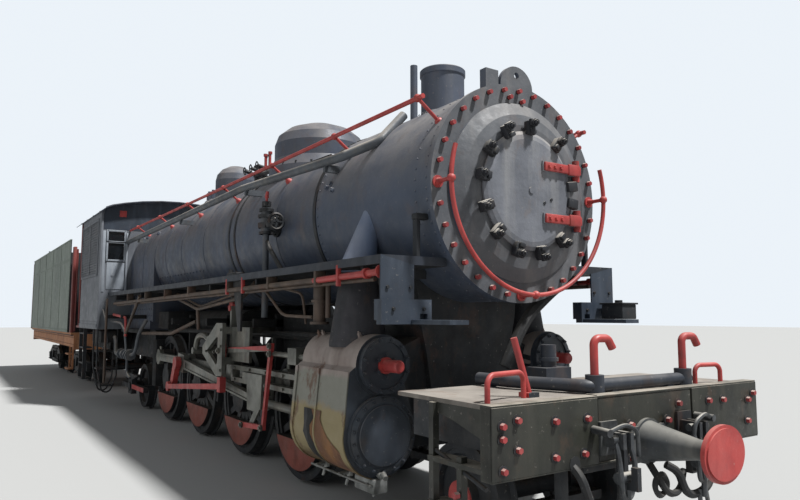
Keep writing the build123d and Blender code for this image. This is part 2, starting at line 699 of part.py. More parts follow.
def guide_bars():
    """Two guide bars a side, on the cylinder and on a yoke plate across the frames."""
    y = (794, 874)
    lower = block((GUIDE_X[0], CYL_X[0] - SEAT), y, (835, 880))
    upper = block((GUIDE_X[0], CYL_X[0] + 10 - SEAT), y, (960, 1005))
    bars = lower + upper
    end = block((GUIDE_X[0] - 40, GUIDE_X[0]), y, (835, 1040))
    hanger = block((GUIDE_X[0] - 40, GUIDE_X[0]), (780, 900), (1004, BOARD_Z[0] - SEAT))
    bracket = block((GUIDE_X[0] - 40, GUIDE_X[0]), (FRAME_Y[0], 790), (1330, 1460))
    knee = block((GUIDE_X[0] - 40, GUIDE_X[0]), FRAME_Y, (900 + SEAT, 1460))
    return both(bars + end + hanger + bracket + knee)


def tail_rods():
    """The round guard of the valve spindle's tail, ahead of each valve chest's cover."""
    guard = turned_x([
        (CYL_X[1] + 23 + SEAT, 0), (CYL_X[1] + 23 + SEAT, 58), (CYL_X[1] + 45, 58), (CYL_X[1] + 45, 44),
        (TAIL_ROD_END - 12, 44), (TAIL_ROD_END, 34), (TAIL_ROD_END, 0)], CYL_Y, CHEST_Z)
    return both(guard)


def valve_gear(side):
    """Radial valve gear of one side: link, radius rod, lever, union link and eccentric rod."""
    y = [side * v for v in GEAR_Y]
    ecc_y = [side * v for v in ECCENTRIC_Y]
    top_x, top_z = LEVER_TOP
    foot_x, foot_z = LEVER_FOOT
    link_x, link_z = LINK_PIN
    lever = outline_xz([
        (top_x - 26, top_z), (top_x + 26, top_z), (foot_x + 20, foot_z), (foot_x - 20, foot_z)], y)
    union = outline_xz([
        (foot_x - 500, foot_z - 40), (foot_x + 30, foot_z - 5), (foot_x + 30, foot_z + 40),
        (foot_x - 500, foot_z + 5)], y)
    rod_end = top_z - 45
    radius_rod = outline_xz([
        (top_x, rod_end - 26), (top_x, rod_end + 26), (link_x, link_z + 26), (link_x, link_z - 26)], y)
    spindle_y = side * (GEAR_Y[1] - 40)
    valve_rod = bar_x((top_x - 30, CYL_X[0] + 10 - SEAT), spindle_y, CHEST_Z, 24)
    valve_rod += block((430, 600), (spindle_y - 45, spindle_y + 45), (CHEST_Z - 70, CHEST_Z + 70))
    link = outline_xz([
        (link_x - 30, 860), (link_x + 40, 860), (link_x + 75, link_z), (link_x + 40, 1400),
        (link_x - 30, 1400), (link_x, link_z),
    ], (side * 925, side * 960))
    foot = block((link_x - 45, link_x + 45), (side * 925, side * ECCENTRIC_Y[1]), (715, 872))
    back_x, back_z = return_pin(side)
    rod = outline_xz([(link_x, 745), (link_x, 805), (back_x, back_z + 30), (back_x, back_z - 30)], ecc_y)
    rod += bar_y(back_x, ecc_y, back_z, 62)
    return lever + union + radius_rod + valve_rod + link + foot + rod


def link_brackets():
    """The three-cornered bracket outside each link, carried from the guides' yoke."""
    link_x, link_z = LINK_PIN
    rear, front = link_x - 510, link_x + 130
    outline = [
        (link_x - 60, 1440), (front, 1440), (front, 895), (link_x - 40, 880),
        (rear, link_z - 50), (rear, link_z + 30)]
    hole = [
        (link_x - 50, 1290), (link_x - 10, 1290), (link_x - 10, 1020), (link_x - 50, 1000),
        (rear + 150, link_z - 10)]
    bracket = outline_xz(outline, BRACKET_Y) - outline_xz(hole, (900, 1200))
    trunnion = bar_y(link_x + 30, (960 + SEAT, BRACKET_Y[1]), link_z, 34)
    arm = block((GUIDE_X[0] + SEAT, -560), (868, 900), (1050, 1400))
    arm += block((GUIDE_X[0] + SEAT, front), (868, BRACKET_Y[1]), (1330, 1400))
    arm += block((GUIDE_X[0] + SEAT, front), (868, BRACKET_Y[1]), (1010, 1080))
    return both(bracket + trunnion + arm)


def brake_gear():
    """A shoe on a hanger before each driving wheel, with the cross beams."""
    pieces = []
    for x in DRIVER_X:
        ring = bar_y(x, (504, 590), DRIVER_R, DRIVER_R + 62) - bar_y(x, (480, 600), DRIVER_R, DRIVER_R + 7)
        shoe = ring & block((x + 500, x + 720), (480, 600), (470, 730))
        hanger = block((x + 672, x + 700), (470, 530), (560, 880))
        pieces.append(shoe + hanger + block((x + 672, x + 700), (FRAME_Y[1] + SEAT, 480), (820, 880)))
    return both(*pieces)


def truck_frame(axle_x, pivot_x):
    """A two-wheel truck with bearings inside the wheels and a radius bar to its pivot."""
    y = (300, 400)
    side = block((axle_x - 290, axle_x + 290), y, (270, 330))
    side += block((axle_x - 110, axle_x + 110), y, (250, 560))
    side -= bar_y(axle_x, (200, 500), TRUCK_R, TRUCK_AXLE_R + FIT)
    across = block((axle_x - 290, axle_x - 220), (-400, 400), (270, 330))
    across += block((axle_x + 220, axle_x + 290), (-400, 400), (270, 330))
    across += block((axle_x - 110, axle_x + 110), (-400, 400), (470, 560))
    radius_bar = block((pivot_x, axle_x - 220), (-60, 60), (330, 380)) + block(
        (axle_x - 290, axle_x - 220), (-60, 60), (300, 380))
    eye = bar_z(pivot_x, 0, (330, 380), 80)
    whole = side + opposite(side) + across + radius_bar + eye
    return whole - bar_z(pivot_x, 0, (200, 600), 35 + FIT)


def trailing_frame():
    """The trailing truck: bars outside the wheels with springs over the axle boxes."""
    y = (740, 820)
    x = TRAIL_X
    side = block((x - 560, x + 900), y, (330, 400)) + block((x - 120, x + 120), y, (240, 480))
    side -= bar_y(x, (600, 835), TRUCK_R, TRUCK_AXLE_R + FIT)
    for step, half in enumerate((430, 340, 250, 160)):
        side += block((x - half, x + half), (y[0] + 10, y[1] - 10), (560 - 22 * step - 22, 560 - 22 * step))
    side += block((x - 60, x + 60), (y[0] + 15, y[1] - 15), (470, 570))
    across = block((x + 490, x + 560), (-820, 820), (330, 400))
    across += block((x - 560, x - 490), (-820, 820), (330, 400))
    radius_bar = block((x + 490, TRAIL_PIVOT_X), (-60, 60), (335, 395))
    radius_bar += bar_z(TRAIL_PIVOT_X, 0, (335, 395), 80)
    whole = side + opposite(side) + across + radius_bar
    return whole - bar_z(TRAIL_PIVOT_X, 0, (200, 600), 35 + FIT)


def engine_steps():
    """Hanging steps: before the cylinders, at the gangway and the hoops under the cab's front."""
    front = block((2790, 2830), (1130, 1170), (520, DECK_Z[0] - SEAT))
    front += block((3030, 3070), (1130, 1170), (520, 790))
    front += block((2790, 3250), (1060, 1180), (735, 760)) + block((2790, 3070), (1060, 1180), (500, 525))
    under = DECK_Z[0] - SEAT
    front += outline_xz([(2830, under), (3250, under), (3250, 880), (2976, 960), (2830, 990)], (1130, 1140))
    front += block((3230, 3250), (1130, 1160), (735, 900))
    low = CAB_FLOOR[0] - SEAT
    ladder = block((-8180, -8150), (CAB_HALF - 60, CAB_HALF), (360, low))
    ladder += block((-7740, -7710), (CAB_HALF - 60, CAB_HALF), (360, low))
    for z in (360, 640, 920, 1180):
        ladder += block((-8180, -7710), (CAB_HALF - 150, CAB_HALF), (z, z + 26))
    hoops = None
    for x in HOOP_X:
        hoop = tube_path([
            (x, 1262, low), (x, 1255, 650), (x, 1160, 230), (x, 1030, 230), (x, 940, 500), (x, 935, low),
        ], 90, 13)
        hoops = hoop if hoops is None else hoops + hoop
    # Each tread as its height and the y values that it spans
    for z, y in ((330, (1010, 1175)), (610, (945, 1240)), (900, (945, 1250))):
        hoops += block((HOOP_X[0] - 10, HOOP_X[1] + 10), y, (z, z + 22))
    return both(front, ladder, hoops)


def lamp_brackets():
    """The plate box and its tray under each board's front end."""
    box = block((2150, BOARD_X[1] + 10), (735, 1130), (1490, HANGER_Z - SEAT))
    box -= block((BOARD_X[1] - 30, BOARD_X[1] + 20), (770, 830), (1495, 1530))
    tray = block((BOARD_X[1] + 10, 2640), (750, 900), (1462, 1490))
    tray += block((2180, BOARD_X[1] + 11), (735, 1130), (1462, 1491))
    return both(box + tray)


def deck_fittings():
    """The bent pipe over the deck with two goosenecks, a lubricator, a lever and grab irons."""
    top = DECK_Z[1] + SEAT
    z = top + 45
    run = tube_path([(DECK_X[0] + 10, -510, z), (2720, -505, z), (3190, -330, z), (3190, 640, z)], 60, 38)
    for x, y in ((2560, -508), (3190, -120), (3190, 420)):
        run += block((x - 25, x + 25), (y - 25, y + 25), (top, z - 10))
    necks = []
    for y in (-270, 590):
        run += bar_z(3190, y, (z - 44, z + 62), 54)
        necks.append(tube_path([
            (3190, y, z + 62 + SEAT), (3190, y, 1385), (3205, y + 105, 1385), (3210, y + 140, 1325)], 40, 24))
    box = block((2455, 2640), (-90, 150), (top, top + 100))
    box += bar_z(2548, 30, (top + 90, top + 250), 52) + bar_z(2548, 30, (top + 140, top + 165), 66)
    lever = bar((3090, -700, top + 10), (3060, -780, 1395), 19)
    lever += block((3050, 3130), (-740, -660), (top, top + 26))
    irons = [
        tube_path([(3175, -1080, top), (3175, -1080, 1210), (3110, -760, 1210), (3110, -760, top)], 55, 15),
        tube_path([(3180, 740, top), (3180, 740, 1190), (3225, 960, 1190), (3225, 960, top)], 50, 15)]
    return [run, box, lever] + necks + irons


def tender_frame():
    """The tender's sills, floor, beams and bogie bolsters."""
    sill = block(TENDER_X, (1170, 1210), SOLE_Z)
    middle = block((TENDER_X[0], TENDER_X[1]), (200, 300), (850, SOLE_Z[1]))
    frame = sill + middle
    whole = frame + opposite(frame)
    whole += block(TENDER_X, (-1270, 1270), (SOLE_Z[1], SOLE_Z[1] + 40))
    for x in ((TENDER_X[0], TENDER_X[0] + 60), (TENDER_X[1] - 60, TENDER_X[1])):
        whole += block(x, (-1210, 1210), (820, SOLE_Z[1]))
    for x in BOGIE_X:
        whole += block((x - 150, x + 150), (-1200, 1200), (930, SOLE_Z[1]))
        whole += bar_z(x, 0, (600, 940), BOGIE_PIN_R)
    drawbar = block((TENDER_X[1] - 100, DRAWBAR_X), (-75, 75), (770, 830))
    drawbar += bar_z(DRAWBAR_X, 0, (770, 830), 110)
    drawbar += block((TENDER_X[1] - 160, TENDER_X[1] - 60), (-210, 210), (770, 870))
    whole += drawbar
    whole -= bar_z(DRAWBAR_X, 0, (600, 1000), 45 + FIT)
    step = block((-9900, -9500), (1180, 1290), (420, 445)) + block((-9900, -9500), (1180, 1290), (720, 745))
    for x in (-9900, -9525):
        step += block((x, x + 25), (1180, 1215), (420, 900))
    return [whole + step + opposite(step)]


def tender_tank():
    """The water tank with the open coal bunker in its front half."""
    wide = CAB_HALF
    floor_z = SOLE_Z[1] + 40
    shell = block(TANK_X, (-wide, wide), (floor_z, TANK_TOP - 420))
    wall = block(TANK_X, (-wide, wide), (TANK_TOP - 430, TANK_TOP))
    wall -= block((TANK_X[0] + 12, TANK_X[1] + 60), (-wide + 12, wide - 12), (TANK_TOP - 420, TANK_TOP + 10))
    bunker = outline_xz([
        (TANK_X[1] + 60, 1500), (TANK_X[1] - 1500, 1500), (-13600, 2690), (-13600, 3300),
        (TANK_X[1] + 60, 3300),
    ], (-820, 820))
    wall += block((-13640, -13600), (-wide + 5, wide - 5), (TANK_TOP - 430, TANK_TOP + 60))
    tank = shell + wall - bunker
    filler = bar_z(-15900, 0, (TANK_TOP - 421, TANK_TOP - 200), 270)
    return [tank, filler]


def tender_fittings():
    """The tender's rear ladder and grab rails."""
    x = TANK_X[0]
    foot = SOLE_Z[1] + 40 + SEAT
    ladder = bar_z(x - 70, 500, (foot, TANK_TOP + 120), 15) + bar_z(x - 70, 880, (foot, TANK_TOP + 120), 15)
    for z in range(1350, 3100, 300):
        ladder += bar_y(x - 70, (500, 880), z, 12)
    for y in (500, 880):
        for z in (1400, 2900):
            ladder += bar_x((x - 70, x - SEAT), y, z, 12)
    rail = bar_z(TANK_X[1] + 60, CAB_HALF - 60, (1400, 2700), 17)
    for z in (1450, 2650):
        rail += bar_x((TANK_X[1] + SEAT, TANK_X[1] + 60), CAB_HALF - 60, z, 13)
    return [ladder] + both(rail)


def bogie(x):
    """A four-wheel tender bogie: side frames outside the wheels and a bolster."""
    half = BOGIE_BASE / 2
    y = (745, 825)
    outline = [
        (x - half - 230, 330), (x - half + 260, 250), (x + half - 260, 250), (x + half + 230, 330),
        (x + half + 230, 500), (x + half - 200, 690), (x - half + 200, 690), (x - half - 230, 500),
    ]
    hole = [(x - half + 270, 340), (x + half - 270, 340), (x + half - 330, 560), (x - half + 330, 560)]
    side = outline_xz(outline, y) - outline_xz(hole, (700, 900))
    for axle in (x - half, x + half):
        side += block((axle - 115, axle + 115), (y[0], y[1] + 25), (280, 500))
    for axle in (x - half, x + half):
        side -= bar_y(axle, (600, 835), TENDER_R, TRUCK_AXLE_R + FIT)
    bolster = block((x - 150, x + 150), (-750, 750), (600, 690))
    bolster += block((x - 220, x + 220), (-220, 220), (640, 760))
    bolster -= bar_z(x, 0, (500, 1000), BOGIE_PIN_R + FIT)
    return side + opposite(side) + bolster


def main():
    os.makedirs("parts", exist_ok=True)
    save("frame", [frame()])
    save("cylinders", [cylinders()])
    save("smokebox", [smokebox()])
    save("smokebox_door", [smokebox_door()])
    save("boiler_barrel", [boiler_barrel()])
    save("firebox", [firebox()])
    save("ashpan", [ashpan()])
    save("chimney", chimney())
    save("domes", domes())
    save("running_boards", running_boards())
    save("air_reservoir", air_reservoir())
    save("front_deck", front_deck())
    save("buffer_beam", buffer_beam())
    save("front_buffer", [centre_buffer(BEAM_X[1], 0)])
    save("front_couplings", [coupling(BEAM_X[1], 0, y) for y in (-350, 350)])
    save("front_hooks", [coupling_hook(BEAM_X[1], 0, y) for y in (-350, 350)])
    save("cab_walls", cab_walls())
    save("cab_roof", cab_roof())
    save("cab_shutters", cab_shutters())
    save("cab_floor", cab_floor())
    save("cab_fittings", cab_fittings())
    save("boiler_handrails", boiler_handrails())
    save("front_handrail", front_handrail())
    save("boiler_pipes", pipe_runs())
    save("feed_gear", feed_gear())
    save("steam_pipes", steam_pipes())
    save("tail_rods", tail_rods())
    save("guide_bars", guide_bars())
    save("valve_gear", [valve_gear(side) for side in (-1, 1)])
    save("link_brackets", link_brackets())
    save("brake_gear", brake_gear())
    save("engine_steps", engine_steps())
    save("lamp_brackets", lamp_brackets())
    save("deck_fittings", deck_fittings())
    save("lead_truck", [truck_frame(LEAD_X, LEAD_PIVOT_X)])
    save("lead_axle", [truck_axle(TRUCK_R, LEAD_X, TYRE_BACK)])
    save("trailing_truck", [trailing_frame()])
    save("trailing_axle", [truck_axle(TRUCK_R, TRAIL_X, 830)])
    for index in range(4):
        save(f"driver_axle_{index + 1}", [driver_axle(index)])
    for side, label in ((-1, "right"), (1, "left")):
        save(f"side_rod_{label}", [side_rod(side)])
        save(f"main_rod_{label}", [main_rod(side)])
        save(f"crosshead_{label}", [crosshead(side)])
    save("tender_frame", tender_frame())
    save("tender_tank", tender_tank())
    save("tender_fittings", tender_fittings())
    save("rear_buffer", [centre_buffer(TENDER_X[0], 180)])
    save("rear_couplings", [coupling(TENDER_X[0], 180, y) for y in (-350, 350)])
    save("rear_hooks", [coupling_hook(TENDER_X[0], 180, y) for y in (-350, 350)])
    for name, x in zip(("front", "rear"), BOGIE_X):
        save(f"tender_bogie_{name}", [bogie(x)])
        for label, step in (("a", 1), ("b", -1)):
            save(f"tender_axle_{name}_{label}", [truck_axle(TENDER_R, x + step * BOGIE_BASE / 2, 830)])


main()
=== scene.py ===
import bpy
import bmesh
from math import asin, cos, pi, radians, sin, sqrt
from mathutils import Matrix, Vector


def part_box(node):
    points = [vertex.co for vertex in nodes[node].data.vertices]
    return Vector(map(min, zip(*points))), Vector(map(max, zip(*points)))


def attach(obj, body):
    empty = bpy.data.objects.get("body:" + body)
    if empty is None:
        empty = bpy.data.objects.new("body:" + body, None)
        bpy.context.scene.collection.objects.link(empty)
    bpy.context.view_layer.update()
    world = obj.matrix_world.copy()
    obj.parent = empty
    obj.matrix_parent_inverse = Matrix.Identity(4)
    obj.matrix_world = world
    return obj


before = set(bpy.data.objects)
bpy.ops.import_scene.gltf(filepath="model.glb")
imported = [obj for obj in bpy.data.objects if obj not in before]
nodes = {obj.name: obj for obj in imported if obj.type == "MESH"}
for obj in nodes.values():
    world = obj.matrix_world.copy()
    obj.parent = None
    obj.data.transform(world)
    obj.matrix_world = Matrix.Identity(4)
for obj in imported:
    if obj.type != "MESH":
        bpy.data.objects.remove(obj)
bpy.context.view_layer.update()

# places that the pieces share, in metres: the front driving axle, the rail top and the boiler line
lowAxle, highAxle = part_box("driver_axle_1")
axleX = (lowAxle[0] + highAxle[0]) / 2
lowBarrel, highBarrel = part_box("boiler_barrel")
railZ = 0.028
boilerZ = (lowBarrel[2] + highBarrel[2]) / 2 - railZ
barrelR = (highBarrel[2] - lowBarrel[2]) / 2
smokeboxR = 0.785
ringFront = 2.322
ahead, outward, up = (1, 0, 0), (0, 1, 0), (0, 0, 1)
pieces = []


def place(x, y, z):
    return Vector((axleX + x, y, railZ + z))


def added(name, data):  # an object of the scene that holds the data
    made = bpy.data.objects.new(name, data)
    bpy.context.scene.collection.objects.link(made)
    return made


def linear(hexText):
    parts = [int(hexText[i:i + 2], 16) / 255 for i in (0, 2, 4)]
    return tuple(p / 12.92 if p <= 0.04045 else ((p + 0.055) / 1.055) ** 2.4 for p in parts) + (1,)


class Piece:
    """A mesh that grows shape by shape: each is made once or, after both(), on both sides."""
    sides = (1,)

    def __init__(self, name, finish, slotName="black_iron", body="engine", angle=35):
        self.facts = name, finish, slotName, body, angle
        self.mesh = bmesh.new()
        pieces.append(self)

    def both(self, on=True):
        self.sides = (-1, 1) if on else (1,)

    def at(self, point, side):
        return place(point[0], side * point[1], point[2])

    def rod(self, a, b, radius, endRadius=None, sides=16):
        for side in self.sides:
            start, end = self.at(a, side), self.at(b, side)
            turn = (end - start).to_track_quat("Z", "Y").to_matrix().to_4x4()
            bmesh.ops.create_cone(
                self.mesh, cap_ends=True, segments=sides, radius1=radius, depth=(end - start).length,
                radius2=radius if endRadius is None else endRadius,
                matrix=Matrix.Translation((start + end) / 2) @ turn)

    def bar(self, run, *sizes, **more):  # a rod along the axis whose coordinate is a pair
        ends = [[c[i] if isinstance(c, tuple) else c for c in run] for i in (0, 1)]
        self.rod(*ends, *sizes, **more)

    def slab(self, centre, size, edge=0, tilt=0):  # a box with rounded edges, tilted about the x axis
        for side in self.sides:
            matrix = Matrix.Translation(self.at(centre, side)) @ Matrix.Rotation(side * tilt, 4, "X")
            matrix = matrix @ Matrix.Diagonal((*size, 1))
            made = bmesh.ops.create_cube(self.mesh, size=1, matrix=matrix)
            if edge:
                edges = list({e for v in made["verts"] for e in v.link_edges})
                bmesh.ops.bevel(
                    self.mesh, geom=edges, offset=edge, segments=2, profile=0.5, affect="EDGES", material=-1)

    def bars(self, *rows):
        for row in rows:
            self.bar(*row)

    def rods(self, *rows):
        for row in rows:
            self.rod(*row)

    def pipes(self, *rows):
        for row in rows:
            self.pipe(*row)

    def slabs(self, edge, *rows):
        for centre, size in rows:
            self.slab(centre, size, edge)

    def spun(self, verts, edges, centre, axis, steps):
        bmesh.ops.spin(
            self.mesh, geom=verts + edges, cent=centre, axis=axis, angle=2 * pi, steps=steps, use_merge=True)

    def turned(self, profile, centre, axis, steps=32):  # profile: (along the axis, radius) pairs
        for side in self.sides:
            middle, turning = self.at(centre, side), Vector((axis[0], side * axis[1], axis[2])).normalized()
            out = turning.orthogonal().normalized()
            verts = [self.mesh.verts.new(middle + turning * along + out * radius) for along, radius in profile]
            edges = [self.mesh.edges.new(pair) for pair in zip(verts, verts[1:])]
            self.spun(verts, edges, middle, turning, steps)

    def wheel(self, centre, axis, radii, half, steps):  # a hand wheel's rim
        inner, middle, outer = radii
        rim = [(-half, middle), (0, outer), (half, middle), (0, inner), (-half, middle)]
        self.turned(rim, centre, axis, steps)

    def hoop(self, x, inner, outer, width, steps=72):  # a band round the boiler
        centre = place(x, 0, boilerZ)
        corners = [(-width / 2, inner), (-width / 2, outer), (width / 2, outer), (width / 2, inner)]
        verts = [self.mesh.verts.new(centre + Vector((along, 0, radius))) for along, radius in corners]
        edges = [self.mesh.edges.new((verts[i], verts[(i + 1) % 4])) for i in range(4)]
        self.spun(verts, edges, centre, (1, 0, 0), steps)

    def block(self, *ends):  # a solid between two rows of four points
        for side in self.sides:
            a, b = [[self.mesh.verts.new(self.at(point, side)) for point in end] for end in ends]
            self.mesh.faces.new(a[::-1])
            self.mesh.faces.new(b)
            for i, j in ((0, 1), (1, 2), (2, 3), (3, 0)):
                self.mesh.faces.new((a[i], a[j], b[j], b[i]))

    def plate(self, outline, thickness):  # an outline of points in one plane, made solid along a vector
        face = self.mesh.faces.new([self.mesh.verts.new(place(*point)) for point in outline])
        made = bmesh.ops.extrude_face_region(self.mesh, geom=[face])
        moved = [g for g in made["geom"] if isinstance(g, bmesh.types.BMVert)]
        bmesh.ops.translate(self.mesh, verts=moved, vec=Vector(thickness))

    def nut(self, centre, axis, radius, height, stud=True):  # on a washer, with the stud's end
        centre, axis = Vector(centre), Vector(axis).normalized() * height
        self.rod(centre, centre + axis * 0.18, radius * 1.3, sides=12)
        self.rod(centre + axis * 0.18, centre + axis, radius, sides=6)
        if stud:
            self.rod(centre + axis, centre + axis * 1.45, radius * 0.5, radius * 0.42, sides=8)

    def rivet(self, centre, axis, radius):
        centre, axis = Vector(centre), Vector(axis).normalized() * radius
        self.rod(centre - axis * 0.2, centre + axis * 0.35, radius, radius * 0.85, sides=8)
        self.rod(centre + axis * 0.35, centre + axis * 0.6, radius * 0.85, radius * 0.4, sides=8)

    def ball(self, centre):
        for side in self.sides:
            bmesh.ops.create_icosphere(
                self.mesh, subdivisions=2, radius=0.03, matrix=Matrix.Translation(self.at(centre, side)))

    def pipe(self, points, radius, bend=None, sides=10):  # a bent pipe: runs joined by short arcs
        bend = radius * 3 if bend is None else bend
        for side in self.sides:
            corners = [self.at(p, side) for p in points]
            path = [corners[0]]
            for before, corner, after in zip(corners, corners[1:], corners[2:]):
                if not bend:
                    path.append(corner)
                    continue
                arriving, leaving = before - corner, after - corner
                reach = min(bend, arriving.length * 0.49, leaving.length * 0.49)
                start, end = corner + arriving.normalized() * reach, corner + leaving.normalized() * reach
                for step in range(7):
                    t = step / 6
                    path.append(start * (1 - t) ** 2 + corner * 2 * t * (1 - t) + end * t ** 2)
            path.append(corners[-1])
            curve = bpy.data.curves.new("path", "CURVE")
            curve.dimensions = "3D"
            curve.bevel_depth = radius
            curve.bevel_resolution = max(1, sides // 4)
            curve.use_fill_caps = True
            spline = curve.splines.new("POLY")
            spline.points.add(len(path) - 1)
            for spot, point in zip(spline.points, path):
                spot.co = (*point, 1)
            holder = added("path", curve)
            mesh = bpy.data.meshes.new_from_object(holder)
            self.mesh.from_mesh(mesh)
            bpy.data.objects.remove(holder)
            bpy.data.curves.remove(curve)
            bpy.data.meshes.remove(mesh)

    def finish(self):
        name, finish, slotName, body, angle = self.facts
        bmesh.ops.recalc_face_normals(self.mesh, faces=self.mesh.faces[:])
        mesh = bpy.data.meshes.new(name)
        self.mesh.to_mesh(mesh)
        self.mesh.free()
        mesh.shade_smooth()
        mesh.set_sharp_from_angle(angle=radians(angle))
        mesh.materials.append(paint[finish])
        made = added(name, mesh)
        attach(made, body)


class Paired(Piece):
    """A piece whose shapes are on both sides from the start."""
    sides = (-1, 1)


def circle(count, radius, shift=0):
    turns = [2 * pi * (i + shift) / count for i in range(count)]
    return [(radius * cos(a), radius * sin(a)) for a in turns]


# materials: worn paint and metal with patches, streaks, rust and fine grain, and on what faces up a lighter
# colour that is partly dust and partly painted light on the sunlit tops
def weathered(name, s):
    material = bpy.data.materials.new(name)
    material.use_nodes = True
    tree = material.node_tree
    shader = tree.nodes["Principled BSDF"]

    def feed(value, socket):
        if isinstance(value, bpy.types.NodeSocket):
            tree.links.new(value, socket)
        else:
            socket.default_value = value

    def node(kind, inputs={}, **values):
        made = tree.nodes.new(kind)
        for key, value in values.items():
            setattr(made, key, value)
        for key, value in inputs.items():
            feed(value, made.inputs[key])
        return made

    spots = node("ShaderNodeTexCoord").outputs["Object"]

    def noise(scale, detail=4, stretch=(1, 1, 1), rough=0.6):
        mapping = node("ShaderNodeMapping", {"Scale": stretch, "Vector": spots})
        return node("ShaderNodeTexNoise", {
            "Scale": scale, "Detail": detail, "Roughness": rough,
            "Vector": mapping.outputs["Vector"]}).outputs["Fac"]

    def ranged(value, low, high, outLow=0, outHigh=1):
        return node("ShaderNodeMapRange", {
            "From Min": low, "From Max": high, "To Min": outLow, "To Max": outHigh,
            "Value": value}).outputs["Result"]

    def times(a, b):
        return node("ShaderNodeMath", {0: a, 1: b}, operation="MULTIPLY").outputs[0]

    def layered(below, colour, amount):
        return node("ShaderNodeMix", {
            "Factor": amount, "A": below, "B": linear(colour)}, data_type="RGBA").outputs["Result"]

    colour = layered(linear(s["base"]), s["patch"], ranged(noise(s.get("patchScale", 1.6)), 0.4, 0.65))
    streaks = ranged(noise(7, 3, (1, 1, 0.12)), 0.5, 0.72)
    colour = layered(colour, s["streak"], times(streaks, s.get("streaky", 0.5)))
    for low, high, shade in s.get("zones", ()):
        spot = node("ShaderNodeSeparateXYZ", {"Vector": spots})
        height = node("ShaderNodeMath", {
            0: noise(7, 3), 1: 0.16, 2: spot.outputs["Z"]}, operation="MULTIPLY_ADD").outputs[0]
        inside = times(ranged(height, low + 0.09, low + 0.13), ranged(height, high + 0.13, high + 0.09))
        colour = layered(colour, shade, inside)
    geometry = node("ShaderNodeNewGeometry")
    split = node("ShaderNodeSeparateXYZ", {"Vector": geometry.outputs["Normal"]})
    # upward faces get the lit-top colour: real dust, and painted light standing in for the sun on the tops
    upward = ranged(split.outputs["Z"], s.get("dustFrom", 0.25), 0.95)
    dusty = times(upward, ranged(noise(3.2, 6), 0.22, 0.56))
    colour = layered(colour, s["dust"], times(dusty, s.get("dusty", 0.5)))
    rusty = ranged(noise(s.get("rustScale", 4.5), 9, (1, 1, 0.7), 0.68), 0.56, 0.64)
    colour = layered(colour, s["rust"], times(rusty, s.get("rusty", 0.3)))
    chips = ranged(noise(38, 4), 0.66, 0.7)
    colour = layered(colour, chipColour, times(chips, s.get("chipped", 0.25)))
    rough = s.get("rough", 0.55)
    bump = node("ShaderNodeBump", {
        "Strength": s.get("bump", 0.25), "Distance": s.get("depth", 0.004),
        "Height": noise(s.get("grain", 55), 6)})
    feed(colour, shader.inputs["Base Color"])
    feed(ranged(noise(9, 5), 0.3, 0.7, rough - 0.1, rough + 0.16), shader.inputs["Roughness"])
    feed(s.get("metal", 0), shader.inputs["Metallic"])
    feed(bump.outputs["Normal"], shader.inputs["Normal"])
    return material


chipColour = "9a948c"


def worn(colours, **settings):  # base, patch, streak, the lit-top colour (dust together with a painted highlight on upward faces) and rust, and what differs from the usual amounts
    return dict(zip(("base", "patch", "streak", "dust", "rust"), colours.split()), **settings)


